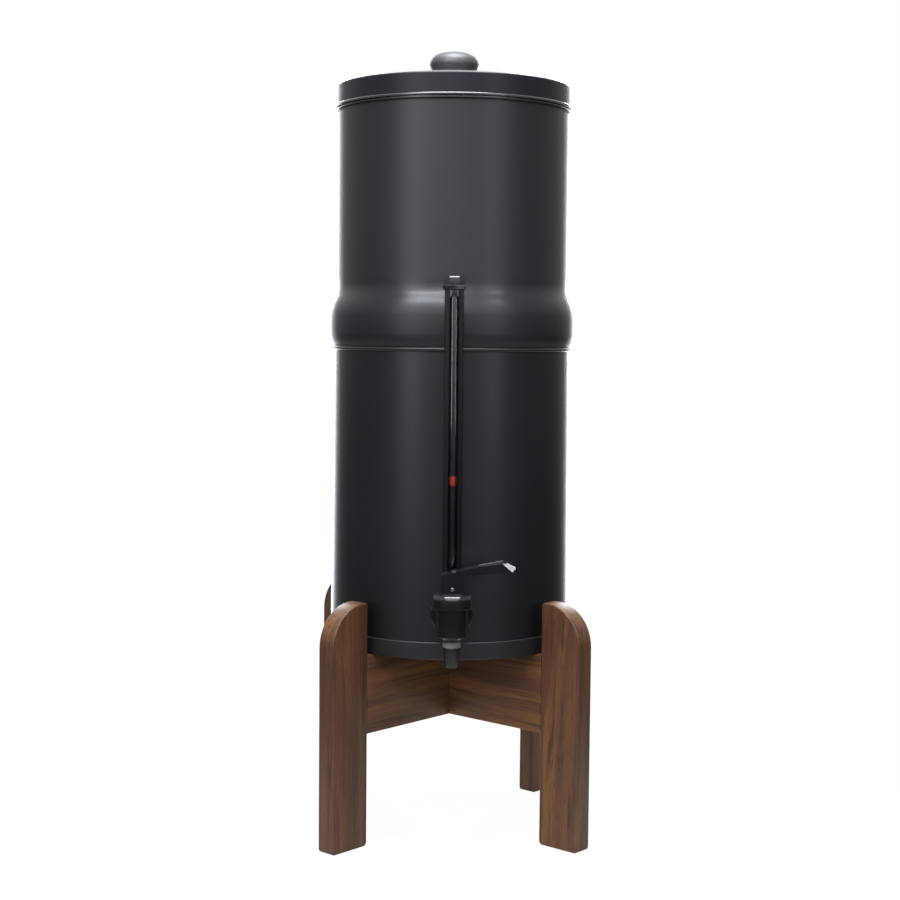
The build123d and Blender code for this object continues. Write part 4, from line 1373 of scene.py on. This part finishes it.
@dataclass
class Lever:
    """The tipping lever: a block over the stem that sweeps up into a paddle."""

    foot: float
    base: float
    axis_y: float
    reach: float
    half: float = 10.6
    block_half_width: float = 8.5
    paddle_half_width: float = 12.0
    block_top: float = 18.4
    block_foot_round: float = 1.0
    under_sweep_drop: float = 1.0
    mid: float = 24.6
    mid_top: float = 26.4
    mid_under: float = 19.1
    end_top: float = 30.2
    end_under: float = 22.3
    end_inset: float = 3.0
    end_bevel: float = 7.5
    bevel_margin: float = 0.1
    tip_high: float = 26.7
    tip_low: float = 24.8
    sweep_radius: float = 30.0
    paddle_radius: float = 2.5
    fine: float = 0.3           # radius of the outline's other corners
    blank: float = 2.0          # width of the slab before it is tapered
    ease: float = 0.30
    crisp: float = 18.0         # degrees
    cross_cuts: int = 9
    top_ease: float = 0.6
    top_facing: float = 0.8     # least part of a normal that counts as facing up or forwards
    facet_reach: float = 2.8    # foot of the end facet, back from the tip
    facet_foot: float = 22.0
    facet_way: Triple = (0.296, -0.850, 0.434)
    rest_from: float = 19.0     # thumb rest on the blade
    rest_to: float = 46.5
    rest_rise: float = 6.0      # length over which it rises
    rest_height: float = 1.2
    rest_sunk: float = 1.0
    rest_depth: float = 8.0
    rest_back: float = 6.5
    rest_crisp: float = 35.0    # degrees

    def build(self) -> None:
        """Build and dress the lever."""
        piece = Workpiece()
        block_under = self.base + self.mid_under - self.under_sweep_drop
        piece.slab(
            [
                Corner(-self.half, self.foot, self.block_foot_round),
                Corner(self.half, self.foot, self.block_foot_round),
                Corner(self.half, block_under, self.block_foot_round),
                Corner(self.mid, self.base + self.mid_under, self.sweep_radius),
                Corner(self.reach - self.end_inset, self.base + self.end_under, self.fine),
                Corner(self.reach, self.base + self.tip_low, self.fine),
                Corner(self.reach, self.base + self.tip_high, self.fine),
                Corner(self.reach - self.end_bevel, self.base + self.end_top, self.fine),
                Corner(self.mid, self.base + self.mid_top, self.sweep_radius),
                Corner(-self.half, self.base + self.block_top, self.fine),
            ],
            self.blank,
        )
        self._taper(piece)
        piece.tidy()
        self._ease_front(piece)
        self._cut_facet(piece)
        piece.ease(piece.crisp_edges(self.crisp), self.ease)
        piece.place(upright(self.axis_y))
        lever = piece.object("tipping_lever", FACET_ANGLE)
        hand_over(lever, Body.LEVER, Slot.BLACK_PLASTIC, "tap_lever")
        self._thumb_rest()

    def _thumb_rest(self) -> None:
        """Raise the low rest on the back half of the blade."""
        slope = (self.end_top - self.mid_top) / (self.reach - self.end_bevel - self.mid)
        start, end = (
            self.base + self.mid_top + slope * (across - self.mid) for across in (self.rest_from, self.rest_to)
        )
        rest = Workpiece()
        rest.slab(
            [
                Corner(self.rest_from, start - self.rest_sunk),
                Corner(self.rest_to, end - self.rest_sunk),
                Corner(self.rest_to, end + self.rest_height, self.fine),
                Corner(self.rest_from + self.rest_rise, start + self.rest_height, self.fine),
            ],
            self.rest_depth,
        )
        rest.tidy()
        rest.ease(rest.crisp_edges(self.rest_crisp), self.ease)
        rest.place(upright(self.axis_y + self.rest_back))
        piece = rest.object("lever_thumb_rest", FACET_ANGLE)
        hand_over(piece, Body.LEVER, Slot.BLACK_PLASTIC, "tap_lever")

    def _taper(self, piece: Workpiece) -> None:
        """Widen the slab from its block to its paddle and round the paddle's corners."""
        for cut in range(1, self.cross_cuts + 1):
            share = cut / self.cross_cuts
            across = self.reach - self.paddle_radius * (1 - math.cos(share * math.pi / 2))
            piece.divide(Vector((across, 0, 0)), Vector((1, 0, 0)))
        piece.divide(Vector((self.half, 0, 0)), Vector((1, 0, 0)))
        for vert in piece.mesh.verts:
            vert.co.y = math.copysign(self._half_width(vert.co.x), vert.co.y)

    def _ease_front(self, piece: Workpiece) -> None:
        """Ease the front's top edge more than the rest."""
        bevel_from = self.reach - self.end_bevel + self.bevel_margin
        top_front = [
            edge for edge in piece.mesh.edges
            if len(edge.link_faces) == 2
            and max(face.normal.z for face in edge.link_faces) > self.top_facing
            and min(face.normal.y for face in edge.link_faces) < -self.top_facing
            and max(vert.co.x for vert in edge.verts) < bevel_from
        ]
        piece.ease(top_front, self.top_ease)

    def _cut_facet(self, piece: Workpiece) -> None:
        """Cut the facet at the front of the lever's end."""
        facet_from = self.reach - self.facet_reach
        corner = Vector((facet_from, -self._half_width(facet_from), self.base + self.facet_foot))
        piece.slice_off(corner, Vector(self.facet_way).normalized())

    def _half_width(self, across: float) -> float:
        """Return half the lever's width at a distance from its pin."""
        share = max(0.0, (across - self.half) / (self.reach - self.half))
        width = self.block_half_width + (self.paddle_half_width - self.block_half_width) * share
        into_round = max(0.0, across - (self.reach - self.paddle_radius))
        return width - self.paddle_radius + math.sqrt(max(0.0, self.paddle_radius**2 - into_round**2))


# ---- Sight gauge ---------------------------------------------------------------


@dataclass
class SightGauge:
    """The sight gauge: eyelet, slotted shell, clear tube, float and cap."""

    shell_radius: float = 8.95
    shell_bore: float = 5.62
    shell_foot_below_shank: float = 1.9
    shell_ease: float = 0.5
    bore_ease: float = 0.2
    eyelet_radius: float = 20.0
    eyelet_ease: float = 1.2
    eyelet_bore: float = 8.3
    eyelet_bore_ease: float = 0.3
    slot_mouth: float = 9.9
    slot_inside: float = 9.1
    slot_waist: float = 7.6         # tube axis to where the slot stops narrowing
    slot_overrun: float = 2.0
    slot_foot_above_shank: float = 30.0
    slot_head_below_top: float = 4.6
    glass_radius: float = 5.5
    glass_bore: float = 4.6
    float_radius: float = 4.35
    float_edge: float = 2.6
    collar_gap: float = 0.1
    collar_radius: float = 10.85
    collar: float = 4.3
    collar_ease: float = 0.6
    collar_ridges: int = 26
    ridge_cuts: int = 6
    ridge_depth: float = 0.8
    ridge_twist: float = 16.0       # degrees from the collar's foot to its top
    knurl_levels: int = 8
    hex_sides: int = 6
    hex_radius: float = 9.9
    hex_overlap: float = 0.2
    hex_bevel: float = 1.3
    hex_bevel_in: float = 1.495     # at the corners
    hex_crisp: float = 20.0         # degrees
    hex_ease: float = 0.25
    axis_y: float = field(init=False)
    shank_height: float = field(init=False)
    top: float = field(init=False)

    def __post_init__(self) -> None:
        """Find the gauge's axis, the tap's shank and the shell's top."""
        self.axis_y = middle("gauge_glass").y
        self.shank_height = middle("tap_lock_nut").z
        self.top = span("gauge_housing")[1].z

    def build(self) -> None:
        """Build and dress the gauge's pieces."""
        self._shell()
        self._eyelet()
        self._tube()
        self._float()
        self._cap()

    def _shell(self) -> None:
        """Build the shell and cut the slot."""
        foot = self.shank_height - self.shell_foot_below_shank
        tube = Workpiece()
        tube.turn(
            [
                Corner(self.shell_bore, foot),
                Corner(self.shell_radius, foot),
                Corner(self.shell_radius, self.top, self.shell_ease),
                Corner(self.shell_bore, self.top, self.bore_ease),
            ],
            frame=upright(self.axis_y),
            closed=True,
        )
        shell = tube.object("gauge_shell")
        carve(shell, self._slot_tool())
        hand_over(shell, Body.LOWER_TANK, Slot.BLACK_PLASTIC, "gauge_housing")

    def _eyelet(self) -> None:
        """Build the eyelet that holds the shell on the tap's shank."""
        back = span("gauge_housing")[1].y
        front = span("gauge_front_seal")[1].y
        eyelet = Workpiece()
        eyelet.turn(
            [
                Corner(self.eyelet_bore, back, self.eyelet_bore_ease),
                Corner(self.eyelet_radius, back, self.eyelet_ease),
                Corner(self.eyelet_radius, front, self.eyelet_ease),
                Corner(self.eyelet_bore, front, self.eyelet_bore_ease),
            ],
            frame=lying(self.shank_height),
            closed=True,
        )
        hand_over(eyelet.object("gauge_eyelet"), Body.LOWER_TANK, Slot.BLACK_PLASTIC, "gauge_housing")

    def _slot_tool(self) -> bpy.types.Object:
        """Make the tool that cuts the slot right through, wider at the shell's face."""
        foot = self.shank_height + self.slot_foot_above_shank
        head = self.top - self.slot_head_below_top
        slope = (self.slot_mouth - self.slot_inside) / 2 / (self.shell_radius - self.slot_waist)
        beyond = self.shell_radius + self.slot_overrun
        sections = (
            (-beyond, self.slot_inside / 2 + slope * (beyond - self.slot_waist)),
            (-self.slot_waist, self.slot_inside / 2),
            (beyond, self.slot_inside / 2),
        )
        tool = Workpiece()
        rings = []
        for along, half in sections:
            spread = half - self.slot_mouth / 2
            section = box_section(-half, half, foot - spread, head + spread, half * FULL_ROUND)
            verts, edges = tool.line(section, closed=True)
            bmesh.ops.translate(tool.mesh, vec=(0, self.axis_y + along, 0), verts=verts)
            rings.append(edges)
        for outer, inner in zip(rings, rings[1:]):
            bmesh.ops.bridge_loops(tool.mesh, edges=outer + inner)
        for ring in (rings[0], rings[-1]):
            bmesh.ops.contextual_create(tool.mesh, geom=[edge for edge in ring if edge.is_valid])
        return tool.object("slot_tool")

    def _tube(self) -> None:
        """Build the clear tube."""
        low, high = span("gauge_glass")
        tube = Workpiece()
        section = box_section(self.glass_bore, self.glass_radius, low.z, high.z, self.bore_ease)
        tube.turn(section, frame=upright(self.axis_y), closed=True)
        hand_over(tube.object("sight_tube"), Body.LOWER_TANK, Slot.CLEAR_TUBE, "gauge_glass")

    def _float(self) -> None:
        """Build the red float."""
        low, high = span("gauge_float")
        bead = Workpiece()
        bead.turn(
            [
                Corner(0, low.z),
                Corner(self.float_radius, low.z, self.float_edge),
                Corner(self.float_radius, high.z, self.float_edge),
                Corner(0, high.z),
            ],
            frame=upright(self.axis_y),
        )
        hand_over(bead.object("red_float_bead"), Body.FLOAT, Slot.RED_FLOAT, "gauge_float")

    def _cap(self) -> None:
        """Build the cap: a knurled collar and a hexagon with a bevelled top."""
        collar_top = self.top + self.collar
        collar = Workpiece()
        self._knurl(collar, self.top + self.collar_gap, collar_top)
        collar.place(upright(self.axis_y))
        piece = collar.object("cap_collar")
        hand_over(piece, Body.LOWER_TANK, Slot.BLACK_PLASTIC, "gauge_cap", finish=KNURL_GLOSS)
        foot = collar_top - self.hex_overlap
        height = span("gauge_cap")[1].z - foot
        drawn_in = (self.hex_radius - self.hex_bevel_in) / self.hex_radius
        head = Workpiece()
        head.prism(self.hex_sides, self.hex_radius, foot, height, self.hex_bevel, drawn_in)
        head.tidy()
        head.ease(head.crisp_edges(self.hex_crisp), self.hex_ease)
        head.place(upright(self.axis_y))
        piece = head.object("cap_hexagon", FACET_ANGLE)
        hand_over(piece, Body.LOWER_TANK, Slot.BLACK_PLASTIC, "gauge_cap")

    def _knurl(self, collar: Workpiece, foot: float, top: float) -> None:
        """Raise the collar as rings of crests and hollows that twist on the way up."""
        count = self.collar_ridges * self.ridge_cuts
        rings = []
        for level in range(self.knurl_levels + 1):
            share = level / self.knurl_levels
            drawn_in = self.collar_ease if level in (0, self.knurl_levels) else 0.0
            ring = []
            for index in range(count):
                turn = 2 * math.pi * index / count + math.radians(self.ridge_twist * share)
                crest = (1 - math.cos(2 * math.pi * index / self.ridge_cuts)) / 2
                radius = self.collar_radius - drawn_in - self.ridge_depth * crest
                up = foot + (top - foot) * share
                ring.append(collar.mesh.verts.new((radius * math.cos(turn), radius * math.sin(turn), up)))
            rings.append(ring)
        for lower, upper in zip(rings, rings[1:]):
            for index in range(count):
                collar.mesh.faces.new((lower[index - 1], lower[index], upper[index], upper[index - 1]))
        collar.mesh.faces.new(rings[0])
        collar.mesh.faces.new(rings[-1])


# ---- Pieces kept as they come --------------------------------------------------


class KeptNodes:
    """CAD nodes whose own shape is shown: they only get their finish."""

    def __init__(self, frame: Mapping[str, Any]) -> None:
        """Read which slot each node has."""
        self.nodes = frame["nodes"]
        self.slots = {
            part["node"]: Slot(part["material_slot"]) for part in frame["record"]["subparts"]
        }

    def build(self) -> None:
        """Give every node that still shows the material of its slot, or its own."""
        for name, node in self.nodes.items():
            material = FINISHES.get(NODE_FINISHES.get(name, self.slots[name]))
            for socket in node.material_slots:
                socket.material = material
            LOG.info("%s keeps its shape with %s", name, material.name)


# ---- Studio --------------------------------------------------------------------

WHITE = (1.0, 1.0, 1.0)


@dataclass(frozen=True)
class Softbox:
    """One soft lamp, aimed at a point over the floor."""

    name: str
    azimuth: float              # degrees from the front, positive to the right
    elevation: float            # degrees
    distance: float             # metres
    width: float                # metres
    height: float               # metres
    radiance: float
    aim: float = 0.40           # metres above the floor
    colour: Colour = WHITE

    def build(self) -> None:
        """Hang the lamp."""
        area = self.width * self.height
        data = bpy.data.lights.new(self.name, "AREA")
        data.shape = "RECTANGLE"
        data.size = self.width
        data.size_y = self.height
        data.energy = self.radiance * math.pi * area
        data.color = self.colour
        lamp = bpy.data.objects.new(self.name, data)
        across, up = math.radians(self.azimuth), math.radians(self.elevation)
        away = Vector((
            math.sin(across) * math.cos(up), -math.cos(across) * math.cos(up), math.sin(up)
        ))
        lamp.location = Vector((0, 0, self.aim)) + away * self.distance
        lamp.rotation_euler = away.to_track_quat("Z", "Y").to_euler()
        lamp.visible_camera = False
        bpy.context.scene.collection.objects.link(lamp)


@dataclass
class Studio:
    """Floor, surroundings and lamps."""

    floor_radius: float = 0.50          # metres
    floor_steps: int = 192
    floor_drop: float = 0.2             # millimetres below the feet
    floor_tone: Colour = (0.42, 0.42, 0.42)
    floor_glow: float = 1.06
    floor_seen: float = 0.9             # share of the glow that the camera sees
    floor_mirrored: float = 0.45        # share that shows in reflections
    ambient: float = 0.20
    backdrop: Band = Band(0.62, 0.95)
    ceiling: Band = Band(-0.16, 0.30, 0.03, 1.05)
    underfoot: Band = Band(-0.42, -0.21, 0.62, 0.0)
    left_side: Band = Band(-1.0, -0.55, 0.66, 1.0)
    right_side: Band = Band(0.55, 1.0, 1.0, 0.54)
    sweep_left: Band = Band(-0.65, -0.10)
    sweep_right: Band = Band(0.15, 0.65, 1.0, 0.0)
    sweep_up: Band = Band(0.05, 0.15, 0.0, 0.9)
    lamps: tuple[Softbox, ...] = (
        Softbox("left_tower", -39, 20, 1.9, 0.62, 1.6, 2.5, 0.40),
        Softbox("right_tower", 38, 20, 1.9, 0.50, 1.6, 1.75, 0.40, (0.94, 0.96, 1.0)),
        Softbox("front_top", -20, 39, 1.9, 1.45, 0.10, 36.0, 0.42),
        Softbox("overhead", 0, 84, 1.6, 0.90, 0.90, 17.0, 0.45),
        Softbox("right_high", 45, 36, 1.9, 0.10, 0.10, 36.0, 0.32),
        Softbox("left_rim", -162, 8, 1.6, 0.62, 1.5, 11.0, 0.40, (0.82, 0.90, 1.0)),
        Softbox("right_rim", 162, 8, 1.6, 0.62, 1.5, 11.0, 0.40),
    )

    def build(self) -> None:
        """Set the studio up."""
        for lamp in self.lamps:
            lamp.build()
        self._floor()
        self._surroundings()

    def _floor(self) -> None:
        """Lay the pale floor."""
        piece = Workpiece()
        bmesh.ops.create_circle(
            piece.mesh, cap_ends=True, radius=self.floor_radius / MM, segments=self.floor_steps,
            matrix=Matrix.Translation((0, 0, -self.floor_drop)),
        )
        floor = piece.object("studio_floor")
        material, graph = new_material("pale_floor")
        seen = (graph.ray("Camera") + graph.ray("Transmission")) * self.floor_seen
        shown = seen + graph.ray("Glossy") * self.floor_mirrored
        diffuse = graph.node("ShaderNodeBsdfDiffuse", values={"Color": opaque(self.floor_tone)})
        glow = graph.node(
            "ShaderNodeEmission", values={"Color": opaque(WHITE), "Strength": self.floor_glow}
        )
        mixed = graph.node("ShaderNodeMixShader", values={0: shown, 1: diffuse, 2: glow})
        graph.node("ShaderNodeOutputMaterial", values={"Surface": mixed})
        floor.data.materials.append(material)

    def _surroundings(self) -> None:
        """Light the scene evenly and show white behind it and a dim room in front."""
        world = bpy.data.worlds.new("studio")
        world.use_nodes = True
        bpy.context.scene.world = world
        graph = Graph(world.node_tree)
        across, along, up = graph.split(graph.node("ShaderNodeTexCoord", output="Generated"))
        backdrop = along.band(*self.backdrop)
        sides = across.band(*self.left_side) * across.band(*self.right_side)
        sweep = across.band(*self.sweep_left) * across.band(*self.sweep_right) * up.band(*self.sweep_up)
        front = (up.band(*self.ceiling) + up.band(*self.underfoot) + sweep) * sides
        room = front * (1.0 - backdrop) + backdrop
        camera = graph.ray("Camera")
        mirrored = graph.ray("Glossy").larger(graph.ray("Transmission"))
        strength = mirrored * room + (1.0 - mirrored) * self.ambient
        strength = camera + (1.0 - camera) * strength
        background = graph.node(
            "ShaderNodeBackground", values={"Color": opaque(WHITE), "Strength": strength}
        )
        graph.node("ShaderNodeOutputWorld", values={"Surface": background})


@dataclass(frozen=True)
class CameraRig:
    """The camera, as a lens at a distance and height that looks at the vessel."""

    lens: float = 66.74         # millimetres
    sensor: float = 36.0        # millimetres
    nearest: float = 0.05       # metres
    distance: float = 1.6793    # metres from the vessel's axis
    height: float = 0.4952      # metres
    round: float = -0.9         # degrees that it stands to the left
    pan: float = 0.025          # degrees
    tilt: float = 4.057         # degrees down
    roll: float = 0.53          # degrees

    def build(self) -> None:
        """Set the camera up and make it the scene's."""
        data = bpy.data.cameras.new("studio_camera")
        data.sensor_width = self.sensor
        data.lens = self.lens
        data.clip_start = self.nearest
        camera = bpy.data.objects.new("studio_camera", data)
        aside = math.radians(self.round)
        camera.location = (
            self.distance * math.sin(aside), -self.distance * math.cos(aside), self.height
        )
        turn = Matrix.Rotation(math.radians(self.round + self.pan), 4, "Z")
        lean = Matrix.Rotation(math.radians(90.0 - self.tilt), 4, "X")
        bank = Matrix.Rotation(math.radians(self.roll), 4, "Z")
        camera.rotation_euler = (turn @ lean @ bank).to_euler()
        bpy.context.scene.collection.objects.link(camera)
        bpy.context.scene.camera = camera


# ---- Scene ---------------------------------------------------------------------


def main() -> None:
    """Load the frame, dress it and set the studio up round it."""
    logging.basicConfig(level=logging.INFO, format="%(name)s: %(message)s")
    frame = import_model()
    bpy.context.scene.view_settings.view_transform = "Standard"
    CameraRig().build()
    Studio().build()
    KeptNodes(frame).build()
    for assembly in (Stand(), LowerVessel(), UpperVessel(), Lid(), Tap(), SightGauge()):
        assembly.build()


if __name__ == "__main__":
    main()
